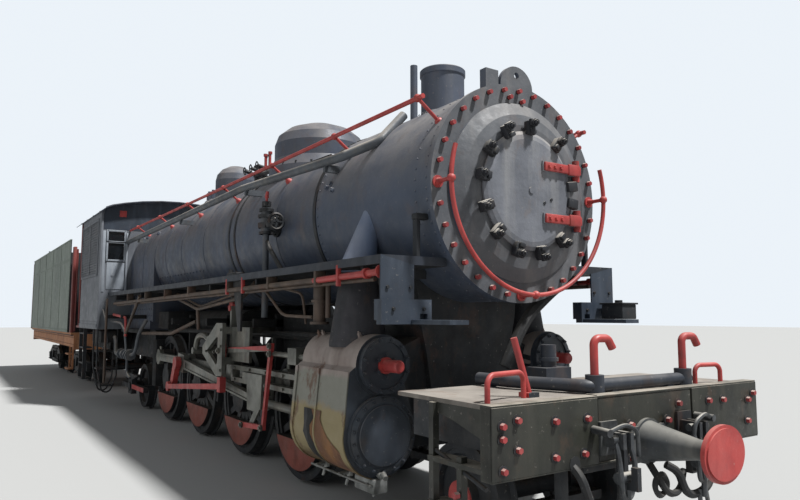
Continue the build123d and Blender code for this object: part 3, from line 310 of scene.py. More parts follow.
finishes = {
    # the boiler's lit-top colour reaches down past the middle of its sides: dust, and a painted highlight on
    # its sunlit upper part
    "boilerBlack": worn("3d4758 2f3745 565453 807b79 4e3a30", dusty=0.9, dustFrom=-0.15,
        rusty=0.25, rough=0.47, streaky=0.6),
    "smokeboxBlack": worn("434c5c 363f4d 5b5d62 96918d 5b4a40", dusty=0.95, dustFrom=-0.05,
        rusty=0.2, streaky=0.4),
    "ringGrey": worn("56585c 484b50 716f6e a39d95 5b4a40", dusty=0.8, rusty=0.2, rough=0.6,
        patchScale=3, grain=20, depth=0.008, bump=0.4),
    "doorGrey": worn("6a6d74 53565d 868686 b6ada0 6b5a4c", dusty=1, dustFrom=0.15, rusty=0.25,
        rough=0.6, streaky=0.6, patchScale=2.6, grain=16, depth=0.012, bump=0.4),
    "casingPale": worn("66738a 56627a 8a8f98 b5afa8 5b4a40", dusty=0.8, rusty=0.2, rough=0.45,
        patchScale=3),
    "edgeDark": worn("262c36 1b2028 3c3f44 6e6c6a 4a382e", rough=0.5, patchScale=3),
    "boltRed": worn("963738 742b2d a5504c c9b5aa 5c2c20", dusty=0.9, dustFrom=0.4, rough=0.5,
        patchScale=5),
    "couplingSteel": worn("4b4e51 26282a 72726c b4afa5 5a4436", dusty=0.9, dustFrom=0.4, rough=0.5,
        metal=0.3, patchScale=9),
    # soot, and painted shade for the smokebox mouth
    "sootAndShade": worn("070708 0b0a0a 100f0e 141312 120d0a", dusty=0.2, rough=0.95, chipped=0),
    "clampBlack": worn("1c1f25 14161a 2c2e33 cfc8bc 4a3a30", dusty=1, dustFrom=0.3, rough=0.6,
        patchScale=4),
    "glassDark": worn("0d1013 14181c 1d2126 3a3d40 22201e", dusty=0.2, rusty=0.1, rough=0.15,
        bump=0.02, chipped=0),
    # black iron, also used as painted shade on the boards' undersides and along the torn cladding
    "ironBlackAndShade": worn("1d2126 131518 322f2c 625a50 4a3226", rusty=0.4, rough=0.6, patchScale=3),
    "cladBrown": worn("8f857f 7b6f69 5f5550 968c84 5a4030", rusty=0.85, rough=0.6, rustScale=5,
        streaky=0.65, patchScale=4, zones=((0.86, 1.1, "78786f"), (0.2, 0.86, "877b5a"),
        (0.2, 0.5, "66553a"))),
    "coverBlack": worn("363d46 22262c 4a4743 6e6a66 4a3a30", rough=0.5),
    "deckPale": worn("76706a 5c5751 938c83 a39b91 6b4a36", dusty=0.7, rough=0.7, patchScale=3),
    "beamOlive": worn("282922 1c1d19 3d3c34 a8a093 4e3c2e", dusty=0.9, rusty=0.35, rough=0.5,
        patchScale=4),
    "hoseBlack": worn("1c1e20 131416 33312e 5a554c 2e2620", rusty=0.2, rough=0.7, patchScale=4),
    # grime, and also the painted shadow inside the torn cladding
    "grimeAndShade": worn("141618 0d0e10 242220 453f38 33251c", dusty=0.6, rusty=0.4, rough=0.75,
        patchScale=3),
    "redPaint": worn("a63a37 872e2e b6504a c27a72 5c2c20", dusty=0.6, rusty=0.35, rough=0.5,
        patchScale=5),
    "redDark": worn("6e2a26 58221f 8a4038 94605a 3c2018", dusty=0.4),
    # pipe tops get a pale lit-top colour: dust, and painted sunlight along the top
    "greyPipe": worn("50555b 3b3f44 6c675f c0b7aa 5d4435", dusty=0.95, dustFrom=0.2, patchScale=3),
    "oilySteel": worn("72736d 50504b 8b8579 9a9487 5c4536", rusty=0.35, rough=0.42, metal=0.55,
        patchScale=4),
    "primerOrange": worn("a3704c 8e5e40 b88a68 b5957a 5e3c28", rusty=0.35, rough=0.7),
    "tankGrey": worn("737c74 666e68 8b948b 8c8c84 5a4a3e", rusty=0.15, rough=0.6, patchScale=0.9,
        streaky=0.6),
    "dialPale": worn("c4bfae a8a290 b0a894 d0cbbb 7a6a50", dusty=0.3, rusty=0.2, rough=0.35),
    "redWeight": worn("86463a 6b362b 5c4038 8a6c60 5a3024", dusty=0.3, rusty=0.4, rough=0.6,
        patchScale=4),
    "shankGrey": worn("43474a 2c2f31 6b6a64 8d8a82 5a4436", dusty=0.7, rough=0.5, patchScale=6),
    "navyPlate": worn("2d3642 222a34 4a535f 6c737c 4e3e34", dusty=0.4, rusty=0.15, rough=0.5),
    "boardTop": worn("565e68 474d56 6f7073 7f8084 5b4a3e", dusty=0.7, rough=0.6, patchScale=2.5),
    "pipeBrown": worn("4d3f36 372f29 6b5848 93806c 54301f", rusty=0.5, rough=0.65, patchScale=4),
    "bareBright": worn("8f918f 5f615f a9a8a2 b3aea4 6a5342", rough=0.4, metal=0.5, patchScale=8),
    "paleFrame": worn("8a9097 757b83 a0a3a6 9a9da1 65564c", rusty=0.2, rough=0.5, patchScale=4),
    "rustOrange": worn("6b4a36 4b362b 8a6238 9a8260 38261e", dusty=0.4, rusty=0.6, rough=0.75,
        patchScale=5, streaky=0.7),
    # painted shade for the steam pipe casing below the running board
    "casingShadeBelowBoard": worn("232429 1a1b20 37343a 7b746c 4a372c", rusty=0.4, rough=0.6, patchScale=3),
    "cabGrey": worn("64686e 54585f 7c7f82 8d8a86 55453c", rusty=0.15),
}
paint = {name: weathered(name, values) for name, values in finishes.items()}
print("materials made:", len(paint))

# each frame node's finish, where it isn't bare steel for rods and crossheads or else black iron
finishNodes = {
    "cladBrown": "cylinders",
    "smokeboxBlack": "smokebox chimney",
    "doorGrey": "smokebox_door",
    "boilerBlack": "boiler_barrel firebox domes cab_roof",
    "edgeDark": "running_boards deck_fittings",
    "deckPale": "front_deck",
    "beamOlive": "buffer_beam",
    "redPaint": "front_buffer boiler_handrails front_handrail valve_gear tail_rods rear_buffer",
    "cabGrey": "cab_walls cab_shutters",
    "redDark": "cab_floor tender_fittings",
    "greyPipe": "boiler_pipes feed_gear",
    "casingPale": "steam_pipes",
    "oilySteel": "guide_bars link_brackets",
    "navyPlate": "lamp_brackets",
    "primerOrange": "tender_frame",
    "tankGrey": "tender_tank",
}
nodeFinish = {name: finish for finish, names in finishNodes.items() for name in names.split()}
for nodeName, piece in nodes.items():
    bare = "rod" in nodeName or "crosshead" in nodeName
    finish = nodeFinish.get(nodeName, "oilySteel" if bare else "ironBlackAndShade")
    piece.data.materials.clear()
    piece.data.materials.append(paint[finish])
print("frame nodes painted:", len(nodes))


def paintFaces(nodeName, finish, test):  # a second finish on the faces of a node that pass the test
    piece = nodes[nodeName]
    mesh = piece.data
    mesh.materials.append(paint[finish])
    index = len(mesh.materials) - 1
    normals = piece.matrix_world.to_3x3()
    for face in mesh.polygons:
        spot = piece.matrix_world @ face.center
        if test(spot.x - axleX, spot.y, spot.z - railZ, normals @ face.normal):
            face.material_index = index


for number in range(1, 5):
    driverX = -1.5 * (number - 1)
    paintFaces(f"driver_axle_{number}", "redWeight", lambda x, y, z, n: (
        abs(n.y) > 0.9 and 0.636 < abs(y) < 0.645 and (z < 0.37 if y < 0 else x > driverX + 0.24)))
paintFaces("front_buffer", "shankGrey", lambda x, y, z, n: x < 3.74)
paintFaces("rear_buffer", "shankGrey", lambda x, y, z, n: x > -17.41)
paintFaces("cylinders", "coverBlack", lambda x, y, z, n: x > 1.765 and abs(y) > 0.5)
paintFaces("cylinders", "ironBlackAndShade", lambda x, y, z, n: abs(y) < 0.62 or x < 0.93)
for label in ("right", "left"):
    paintFaces(f"main_rod_{label}", "redPaint", lambda x, y, z, n: abs(y) > 0.875)
paintFaces("smokebox", "ringGrey", lambda x, y, z, n: x > 2.3 and n.x > 0.3)
paintFaces("running_boards", "navyPlate", lambda x, y, z, n: x > 2.2 and z < 1.845)
paintFaces("running_boards", "boardTop", lambda x, y, z, n: n.z > 0.8)
# downward faces and the low parts of the boards are painted near black as the shade under the boards
paintFaces("running_boards", "ironBlackAndShade", lambda x, y, z, n: n.z < -0.8 or z < 1.84 and x < 2.1)
paintFaces("deck_fittings", "redPaint", lambda x, y, z, n: (
    (x > 3.13 and z > 1.178) or (2.98 < x < 3.128 and abs(y) > 0.66 and z > 1.1) or abs(y) > 0.72))
paintFaces("trailing_truck", "redPaint", lambda x, y, z, n: abs(y) > 0.81 and x > -5.86 and z < 0.41)
paintFaces("tender_tank", "ironBlackAndShade", lambda x, y, z, n: n.x > 0.7 or (abs(y) < 0.83 and z < 2.69))
# the casing below the running board is painted near black: painted shade under the boards and the smokebox
paintFaces("steam_pipes", "casingShadeBelowBoard", lambda x, y, z, n: z < 1.85)
paintFaces("engine_steps", "beamOlive", lambda x, y, z, n: x > 2.7)
paintFaces("front_couplings", "couplingSteel", lambda x, y, z, n: y < 0)
paintFaces("valve_gear", "oilySteel", lambda x, y, z, n: (
    x > 0.1 or (-1.3 < x < -0.7 and z > 0.9 and abs(y) < 0.94)))
print("second finishes set")

# the smokebox front: studs with red nuts, door clamps, plugs and rivet rows
bit = Piece("ring_nuts", "boltRed", "red_paint")
stems = Piece("ring_stems", "ironBlackAndShade")
for z, y in circle(32, 0.752) + [(3.1 - boilerZ, -0.092), (3.085 - boilerZ, 0.03)]:
    stems.bar(((ringFront, ringFront + 0.014), y, boilerZ + z), 0.017, sides=10)
    bit.bar(((ringFront + 0.012, ringFront + 0.04), y, boilerZ + z), 0.0195, 0.0175, sides=6)

clamps = [(-0.234, 2.83), (0, 2.868), (-0.412, 2.676), (-0.475, 2.471), (-0.47, 2.242), (-0.331, 2.083),
    (-0.138, 1.971), (0.088, 1.968), (0.286, 2.085), (0.452, 2.342), (0.455, 2.48), (0.285, 2.788)]
hingeSide = 0.44  # a clamp further out than this is a plain dog behind the straps
bit = Piece("door_clamps", "clampBlack", "black_iron", "smokebox_door")
for y, z in clamps:
    out = Vector((0, y, z - boilerZ)).normalized()
    tilt = -out.angle(Vector((0, 0, 1))) * (1 if y > 0 else -1)
    spot = Vector((2.444, 0, boilerZ)) + out * 0.452
    bit.slab(spot - out * (0.03 if y > hingeSide else 0), (0.05, 0.074, 0.1), 0.008, tilt)
    if y > hingeSide:
        continue
    bit.slab(spot + Vector((0.034, 0, 0)) + out * 0.034, (0.03, 0.062, 0.05), 0.006, tilt)
    bit.slab(spot + Vector((0.031, 0, 0)) - out * 0.03, (0.026, 0.05, 0.03), 0.005, tilt)
    bit.nut(spot + Vector((0.054, 0, 0)) + out * 0.03, ahead, 0.022, 0.024)
for y, z in ((0.13, boilerZ - 0.08), (0.2, boilerZ - 0.05)):
    bit.bar(((2.446, 2.452), y, z), 0.012, sides=8)

# a near-black disc on the front plate behind the door: soot, and painted shade standing in for the depth of the
# smokebox
bit = Piece("smokebox_mouth_shade", "sootAndShade", "smokebox_black")
bit.bar(((2.4042, 2.4056), 0, boilerZ), 0.415, sides=64)

bit = Piece("door_straps", "redPaint", "red_paint", "smokebox_door")
for z in (2.216, 2.596):
    bit.slabs(0.009, ((2.463, 0.31, z), (0.024, 0.38, 0.066)), ((2.47, 0.42, z), (0.026, 0.12, 0.084)))
    for y in (0.16, 0.22, 0.28):
        bit.nut((2.474, y, z), ahead, 0.015, 0.014, False)
    bit.bar((2.428, 0.49, (z - 0.075, z + 0.085)), 0.027, sides=16)

bit = Piece("smokebox_rivets", "smokeboxBlack", "smokebox_black")
for x, size in ((2.25, 0.012), (2.12, 0.009), (0.66, 0.012)):
    for z, y in circle(64, 1, 0.5):
        out = Vector((0, y, z))
        bit.rivet(Vector((x, 0, boilerZ)) + out * smokeboxR, out, size)
for z, y in circle(40, 0.64):
    if y < 0.32:
        bit.rivet((ringFront + 0.016, y, boilerZ + z), ahead, 0.009)
for x, y, z in ((0.846, -0.72, 2.622), (0.9, -0.73, 2.56), (0.79, -0.74, 2.6), (1, -0.66, 2.84)):
    out = Vector((0, y, z - boilerZ)).normalized()
    bit.nut(Vector((x, 0, boilerZ)) + out * smokeboxR, out, 0.02, 0.025, False)


def saddleBand(x, lift, width, low):  # over the firebox's round top and down both straight sides
    out, under = barrelR + lift, (barrelR - 0.004) / (barrelR + lift)
    outer = [(-out, low)]
    outer += [(out * -cos(a * pi / 24), boilerZ + out * sin(a * pi / 24)) for a in range(25)]
    outer.append((out, low))
    inner = [(y * under, z if z < boilerZ else boilerZ + (z - boilerZ) * under) for y, z in outer]
    for (a, b), (c, d) in zip(zip(outer, outer[1:]), zip(inner, inner[1:])):
        bit.block(*([(x + along, *p) for p in (a, b, d, c)] for along in (width / 2, -width / 2)))


# boiler bands, seams and plugs
bit = Piece("boiler_seams", "ironBlackAndShade", "boiler_black")
bit.hoop(0.6, 0.76, 0.793, 0.05)
bit.hoop(-1.42, 0.76, 0.772, 0.045)
bit.hoop(-1.6, 0.76, 0.772, 0.045)
bit = Piece("boiler_bands", "boilerBlack", "boiler_black")
for x in (-0.3, -2.55, -3.5, -4.3):
    bit.hoop(x, 0.76, 0.7685, 0.04)
for x in (-4.93, -5.65, -6.4):
    saddleBand(x, 0.004, 0.04, 1.912)
bit.both()
out = Vector((0, 0.64, 2.83 - boilerZ)).normalized()
for x in (-5.2, -5.9, -6.2):
    bit.nut(Vector((x, 0, boilerZ)) + out * barrelR, out, 0.032, 0.03, False)

bit = Paired("stay_bolts", "boilerBlack", "boiler_black")
for j in range(7):
    turn = radians(204 + 8 * j)
    out = Vector((0, cos(turn), sin(turn)))
    for i in range(16):
        bit.rivet(Vector((-4.8 + i * 0.14, 0, boilerZ)) + out * barrelR, out, 0.017)
for i in range(15):
    for j in range(4):
        bit.rivet((-6.95 + i * 0.14, 0.765, 1.52 + j * 0.1), outward, 0.015)
print("smokebox and boiler details made")

# pipes and brackets along and under the boards
bit = Paired("board_pipes", "pipeBrown", "grey_pipe")
bit.pipes(([(1.25, 1.105, 1.782), (-6.05, 1.105, 1.716)], 0.022), ([(2.05, 1.06, 1.76), (-6.05, 1.06, 1.69)],
    0.016))
for x in (1.3, 0.4, -0.62, -1.9, -2.9, -3.9, -5):
    bit.slab((x, 1.085, 1.8), (0.035, 0.09, 0.11), 0.004)
bit = Paired("board_pipes_red", "redPaint", "red_paint")
bit.pipe([(2.2, 1.105, 1.8), (1.25, 1.105, 1.782)], 0.0235)
bit.bars((((2.19, 2.2), 1.105, 1.8), 0.045), (((2, 2.03), 1.105, 1.797), 0.036))
for x in (1.65, -0.2, -0.62):
    bit.slab((x, 1.117, 1.8), (0.03, 0.03, 0.15), 0.004)
bit.pipe([(-6.091, 1.1, 1.537), (-5.182, 1.1, 1.489), (-5.136, 1.1, 1.2)], 0.02)

bit = Paired("hanging_pipes", "pipeBrown", "grey_pipe")
bit.pipes(([(-3.114, 1, 1.8), (-1.919, 1, 1.589), (-0.45, 1, 1.7), (-0.2, 1, 1.83)], 0.018, 0.12),
    ([(-2.9, 0.97, 1.8), (-1.919, 0.97, 1.62), (-0.75, 0.97, 1.74)], 0.014, 0.12),
    ([(-0.03, 1, 1.8), (0.45, 1, 1.52), (1.02, 1, 1.505)], 0.013, 0.1),
    ([(0.1, 0.96, 1.79), (0.75, 0.96, 1.7), (0.82, 0.96, 1.45)], 0.011, 0.08),
    ([(-1.919, 1, 1.589), (-1.93, 0.98, 1.36)], 0.02))
bit.rod((-4.314, 1.1, 1.8), (-5.2, 1.1, 1.212), 0.022)
bit.bar((-6.155, 1.2, (1.8, 0.42)), 0.02)
bit.pipe([(-4.9, 0.9, 1.25), (-3.4, 0.88, 1.28), (-2.6, 0.8, 1.45)], 0.024)
bit.bar((1.1, 0.98, (1.46, 1.79)), 0.05)
for z, r in ((1.45, 0.075), (1.62, 0.066), (1.77, 0.07)):
    bit.bar((1.1, 0.98, (z, z + 0.02)), r)
bit.bar((1.24, 0.98, (1.5, 1.75)), 0.02)

# the check valves: bodies, flanges, hand wheels and their pipes
feedLow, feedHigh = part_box("feed_gear")
feedX = (feedLow[0] + feedHigh[0]) / 2 - axleX
bit = Paired("check_valves", "ironBlackAndShade")
for z, r, h in (
        (2.3, 0.07, 0.025), (2.36, 0.085, 0.05), (2.46, 0.08, 0.03), (2.52, 0.07, 0.03), (2.57, 0.045, 0.05)):
    bit.bar((feedX, 0.88, (z, z + h)), r, sides=6 if r > 0.08 else 16)
bit.bar(((feedX - 0.02, feedX + 0.24), 0.88, 2.4), 0.03)
bit.bar(((feedX + 0.1, feedX + 0.15), 0.88, 2.4), 0.055, sides=8)
bit.wheel((feedX + 0.24, 0.88, 2.4), ahead, (0.06, 0.072, 0.088), 0.012, 24)
bit.slabs(0, ((feedX + 0.24, 0.88, 2.4), (0.012, 0.012, 0.15)), ((feedX + 0.24, 0.88, 2.4),
    (0.012, 0.15, 0.012)))
bit.pipe([(feedX, 0.88, 2.25), (feedX + 0.08, 0.87, 2.15), (feedX + 0.36, 0.86, 1.92)], 0.022)
bit.bar((feedX, (0.72, 0.78), 2.4), 0.12)
for x, z in circle(8, 0.095):
    bit.nut((feedX + x, 0.78, 2.4 + z), outward, 0.011, 0.016, False)
bit.slab((feedX - 0.62, 0.95, 1.935), (0.28, 0.09, 0.05), 0.01)
bit.bar((feedX - 0.75, 0.95, (1.93, 2)), 0.025)
bit = Paired("rail_knobs", "redPaint", "red_paint", angle=50)
bit.bar((feedX, 0.88, (2.62, 2.7)), 0.012)
bit.rod((feedX, 0.88, 2.66), (feedX + 0.02, 0.88, 2.72), 0.02, 0.014)
railY, railTop = 0.81, 3
reach = barrelR / sqrt(railY ** 2 + (railTop - boilerZ) ** 2)
for x in (2.19, 1, -0.3, -1.7, -3.1, -4.5, -5.9):
    bit.ball((x, railY, railTop))
    knob = Vector((x, railY, railTop))
    foot = Vector((x, railY * reach, boilerZ + (railTop - boilerZ) * reach))
    bit.rod(foot, foot + (knob - foot) * 0.14, 0.04, 0.024)
bit.both(False)
for y, z in ((-0.745, boilerZ), (0, boilerZ - 0.745), (0.745, boilerZ)):
    bit.bars((((ringFront, ringFront + 0.012), y, z), 0.042),
        (((ringFront + 0.012, ringFront + 0.05), y, z), 0.026, 0.016))
    bit.ball((2.472, y, z))

# valves, whistle and turret on the boiler top, between and behind the domes
bit = Piece("top_valves", "ironBlackAndShade")
for x, y, r, low, high in (
        (-2, 0, 0.12, 3.15, 3.27), (-2, 0, 0.085, 3.27, 3.42), (-2.25, -0.18, 0.035, 3.1, 3.44),
        (-2.25, 0.18, 0.035, 3.1, 3.44), (-2.5, 0, 0.05, 3.15, 3.4), (-5.6, 0, 0.07, 3.15, 3.36)):
    bit.bar((x, y, (low, high)), r)
    bit.bar((x, y, (high - 0.03, high)), r * 1.35, sides=8)
bit.slab((-1.95, -0.22, 3.3), (0.5, 0.07, 0.06), 0.01)
for x in (-2.15, -1.95, -1.75):
    bit.rod((x, -0.22, 3.3), (x, -0.38, 3.33), 0.022)
    bit.wheel((x, -0.385, 3.33), (0, 1, 0.15), (0.032, 0.04, 0.052), 0.008, 20)
    bit.slab((x, -0.385, 3.33), (0.085, 0.01, 0.012))
bit.pipes(([(-2.15, -0.1, 3.38), (-2.15, -0.1, 3.56), (-2.05, -0.1, 3.56), (-2.05, -0.1, 3.42)], 0.014),
    ([(-1.72, -0.2, 3.3), (-1.4, -0.46, 3.16), (-0.6, -0.52, 3.02), (0.4, -0.52, 3)], 0.016),
    ([(-2.1, 0.15, 3.3), (-3, 0.35, 3.16), (-6.44, 0.35, 3.12)], 0.018))
for x, r in ((-0.85, 0.54), (-3.5, 0.33)):
    for dx, y in circle(20, r):
        bit.nut((x + dx, y, max(3.12, boilerZ + sqrt(barrelR ** 2 - y ** 2))), up, 0.013, 0.03, False)
bit = Piece("top_handles", "redPaint", "red_paint")
for x in (-1.62, -1.48):
    bit.bars(((x, -0.33, (3.26, 3.42)), 0.014), ((x, -0.33, (3.42, 3.45)), 0.024))
bit = Piece("chimney_rim", "smokeboxBlack", "smokebox_black")
for x in (-4.5, -4.68):
    bit.bar((x, 0, (3.28, 3.31)), 0.09, sides=8)
    bit.bar((x, 0, (3.47, 3.5)), 0.03)
for x, y in circle(24, 0.215):
    bit.rivet((1.425 + x, y, 3.19), (x, y, 0.086), 0.009)
print("pipes, valves and rails made")

# the cylinders: cladding bands, covers and their bolts, torn cladding, cocks and the slender rods
cylY, cylZ, chestZ = 0.834, 0.69, 1.17


def claddingPoint(t):  # (y, z) on a cylinder's outer side, t metres down from the chest's waist
    low = Vector((cylY + 0.302, cylZ))
    high = Vector((cylY + 0.259, chestZ - 0.04))
    run = (high - low).length
    if t < run:
        return high + (low - high) * t / run, Vector((0.995, 0.097))
    a = (t - run) / 0.302
    return Vector((cylY + 0.302 * cos(a), cylZ - 0.302 * sin(a))), Vector((cos(a), -sin(a)))


def claddingPatch(name, finish, slotName, lift, edges):  # edges: a row's rear and front x
    patch = Piece(name, finish, slotName)
    for side in (-1, 1):
        grid = []
        for i, tear in enumerate(torn):
            (y, z), (ny, nz) = claddingPoint(0.3 + 0.058 * i)
            rear, front = edges(i, tear)
            row = [(rear + (front - rear) * j / 8, y + ny * lift, z + nz * lift) for j in range(9)]
            grid.append([patch.mesh.verts.new(patch.at(point, side)) for point in row])
        for upper, lower in zip(grid, grid[1:]):
            for j in range(8):
                patch.mesh.faces.new((upper[j], upper[j + 1], lower[j + 1], lower[j]))


# the torn cladding: a rust patch, and along its rear edge two dark strips that are painted shadow cast by the
# torn lip; the outer strip is also the dark torn edge itself
torn = [1.17, 1.19, 1.175, 1.2, 1.19, 1.22, 1.23, 1.27, 1.31, 1.38, 1.47]
tornFront = [1.42, 1.43, 1.46, 1.55, 1.67, 1.72, 1.73, 1.73, 1.73, 1.73, 1.73]
claddingPatch("torn_cladding", "rustOrange", "worn_casing", 0.003,
    lambda i, x: (x + 0.03, tornFront[i] - 0.02 * sin(i * 2.1)))
claddingPatch("torn_shadow", "grimeAndShade", "worn_casing", 0.005,
    lambda i, x: (x + 0.03, x + 0.1 + 0.03 * sin(i * 1.7)))
claddingPatch("torn_edge_and_shadow", "ironBlackAndShade", "black_iron", 0.0045,
    lambda i, x: (x - 0.02 + 0.02 * sin(i * 3.7), x + 0.06))

bit = Paired("cladding_bands", "cladBrown", "worn_casing")
outer = [claddingPoint(t * 0.04) for t in range(26)]
for x, width in ((1.735, 0.07), (0.955, 0.04), (1.33, 0.02)):
    for (a, na), (b, nb) in zip(outer, outer[1:]):
        bit.block(*([(x + along, *p) for p in (a, a + na * 0.007, b + nb * 0.007, b)]
            for along in (-width / 2, width / 2)))
for x in (1, 1.07, 1.5, 1.57, 1.63):
    bit.nut((x, cylY + 0.09, chestZ + 0.195), (0, 0.4, 1), 0.016, 0.03)

bit = Paired("cylinder_covers", "coverBlack")
bit.turned([(0, 0), (0, 0.205), (0.006, 0.21), (0.012, 0.205), (0.02, 0.15), (0.026, 0)], (1.823, cylY, cylZ),
    ahead, 40)
bit.turned([(-0.03, 0.255), (-0.03, 0.272), (0.004, 0.272), (0.004, 0.255), (-0.03, 0.255)],
    (1.8, cylY, cylZ), ahead, 48)
bit.turned([(0, 0.2), (0.016, 0.2), (0.016, 0.165), (0, 0.165)], (1.823, cylY, chestZ), ahead, 40)
for x, z, count, radius, axis, *sizes in (
        (1.8, cylZ, 18, 0.246, ahead, 0.013, 0.022), (1.823, chestZ, 12, 0.182, ahead, 0.014, 0.03),
        (0.905, cylZ, 14, 0.22, (-1, 0, 0), 0.014, 0.03), (1.845, chestZ, 6, 0.08, ahead, 0.011, 0.014, False)):
    for dy, dz in circle(count, radius, 0.5):
        bit.nut((x, cylY + dy, z + dz), axis, *sizes)
bit.bar(((0.83, 0.905), cylY, cylZ), 0.085, sides=24)
bit.bar(((0.8, 0.83), cylY, cylZ), 0.065, sides=24)
bit.bar(((0.85, 0.915), 0.895, chestZ), 0.06, sides=20)

bit = Paired("drain_cocks", "bareBright", "bare_steel")
for x in (0.98, 1.35, 1.74):
    bit.bar((x, 0.84, (0.41, 0.33)), 0.022)
    bit.rods(((x, 0.84, 0.36), (x, 0.93, 0.35), 0.016), ((x - 0.02, 0.84, 0.335), (x - 0.02, 0.86, 0.26),
        0.012))
bit.slab((1.68, 0.86, 0.345), (0.26, 0.12, 0.1), 0.012)
bit.bar(((0.9, 1.8), 0.93, 0.35), 0.009)
for x in (1.78, 1.84):
    bit.rod((x, 0.86, 0.43), (x + 0.05, 0.87, 0.415), 0.024, 0.018)

bit = Paired("slender_rods", "redPaint", "red_paint")
bit.rods(((0.86, 1, 0.6), (0.84, 1, 1.04), 0.012), ((0.8, 1, 0.7), (0.78, 1, 0.98), 0.01))
for z in (0.62, 0.83, 1.02):
    bit.bar((0.855, (0.97, 1.02), z), 0.022)
bit.rod((-1.14, 0.875, 1.24), (-1.13, 0.875, 1.66), 0.014)
bit.bar((-1.13, (0.85, 0.91), 1.6), 0.035)
bit.slab((-1.1, 0.88, 1.64), (0.1, 0.05, 0.04), 0.006)
print("cylinder details made")

# the front beam: cheek plates, bolts with red heads, hose, coupling gear and step ties
bit = Piece("beam_plates", "beamOlive", "worn_deck")
for low, high in ((-1.196, -0.425), (0.455, 1.196)):
    bit.slab((3.33, (low + high) / 2, 0.895), (0.014, high - low, 0.35), 0.003)
bit.slabs(0, ((3.327, 0.015, 0.895), (0.006, 0.86, 0.33)), ((3.29, -0.42, 0.95), (0.07, 0.012, 0.27)))
bit.slabs(0.003, ((3.292, 0, 1.074), (0.085, 2.392, 0.012)), ((3.292, 0, 0.716), (0.085, 2.392, 0.012)))
for y in (-1.19, 1.19):
    bit.slab((3.29, y, 0.895), (0.08, 0.012, 0.35))

beamBolts = [(-1.133, 0.98), (-1.134, 0.918), (-1.032, 1.001), (-1.029, 0.855), (-0.764, 0.973),
    (-0.769, 0.791), (-0.518, 0.968), (-0.549, 0.787), (-1.13, 0.765), (-0.299, 0.873), (0.313, 0.989),
    (0.62, 0.985), (0.78, 0.98), (1.075, 0.961), (1.063, 0.824), (1.14, 1), (0.7, 0.8), (-0.172, 0.905),
    (0.172, 0.905), (-0.172, 0.72), (0.172, 0.72)]
bit = Piece("beam_bolts", "boltRed", "red_paint")
washers = Piece("beam_irons", "ironBlackAndShade")
for y, z in beamBolts:
    x = 3.337 if abs(y) > 0.45 else 3.35 if abs(y) < 0.2 else 3.33
    bit.bar(((x, x + 0.026), y, z), 0.0175, 0.0165, sides=6)
    washers.bar(((x - 0.004, x + 0.004), y, z), 0.03, sides=12)
for z in (0.6, 0.5):
    bit.bar((3.05, (-1.175, -1.205), z), 0.018, sides=6)

bit = washers
bit.slab((3.2, 0, 0.68), (0.1, 0.9, 0.06), 0.006)
bit.both()
for y in (0.9, 0.55):
    bit.slab((2.86, y, 0.985), (0.72, 0.05, 0.06), 0.004)
bit.slab((2.86, 1.06, 0.93), (0.72, 0.012, 0.22))
bit.rod((2.83, 1.15, 0.79), (3.24, 1.15, 0.66), 0.012)
bit.slab((3.22, 0.6, 0.62), (0.05, 0.06, 0.2), 0.006)

bit = Piece("beam_hoses", "hoseBlack")
bit.pipes(([(3.3, 0.52, 0.8), (3.42, 0.52, 0.74), (3.44, 0.44, 0.5), (3.42, 0.24, 0.46), (3.42, 0.16, 0.62),
    (3.38, 0.1, 0.66)], 0.024, 0.09),
    ([(3.3, 0.02, 0.7), (3.4, -0.02, 0.62), (3.42, 0.06, 0.5), (3.4, 0.2, 0.5), (3.36, 0.3, 0.6)], 0.02,
    0.07))
bit.wheel((3.4, 0.02, 0.56), ahead, (0.035, 0.055, 0.075), 0.02, 24)
bit.pipe([(3.3, -0.62, 0.74), (3.38, -0.62, 0.68), (3.4, -0.56, 0.5)], 0.024, 0.06)
for y, z in ((0.52, 0.8), (0.02, 0.7), (-0.62, 0.74)):
    bit.bar(((3.26, 3.34), y, z), 0.042, sides=8)
bit.pipe([(2.2, -0.05, 1.15), (2.24, 0.12, 1.5), (2.2, 0.5, 1.74), (2.05, 0.8, 1.8)], 0.045, 0.16)

bit = Piece("coupling_gear", "couplingSteel", "bare_steel")
for y0, flip in ((-0.35, 1), (0.35, -1)):
    bit.pipe([(3.43, y0 - 0.05, 0.86), (3.47, y0 - 0.07, 0.72), (3.46, y0 - 0.04, 0.55),
        (3.45, y0 + 0.04, 0.55), (3.46, y0 + 0.07, 0.72), (3.43, y0 + 0.05, 0.86)], 0.015, 0.05)
    bit.bars(((3.43, (y0 - 0.09, y0 + 0.09), 0.86), 0.022), ((3.45, (y0 - 0.07, y0 + 0.07), 0.66), 0.03),
        ((3.46, y0, (0.66, 0.46)), 0.017))
    bit.pipe([(3.44, y0 - 0.02, 0.5), (3.45, y0 - 0.03, 0.4), (3.45, y0 + 0.05, 0.4), (3.44, y0 + 0.04, 0.5)],
        0.013, 0.03)
    bit.rod((3.34, y0 - flip * 0.12, 0.905), (3.46, y0 - flip * 0.13, 0.9), 0.022)
    bit.pipe([(3.44, y0 - flip * 0.13, 0.9), (3.47, y0 - flip * 0.02, 0.94), (3.47, y0 + flip * 0.08, 0.9),
        (3.46, y0 + flip * 0.1, 0.76)], 0.012, 0.04)

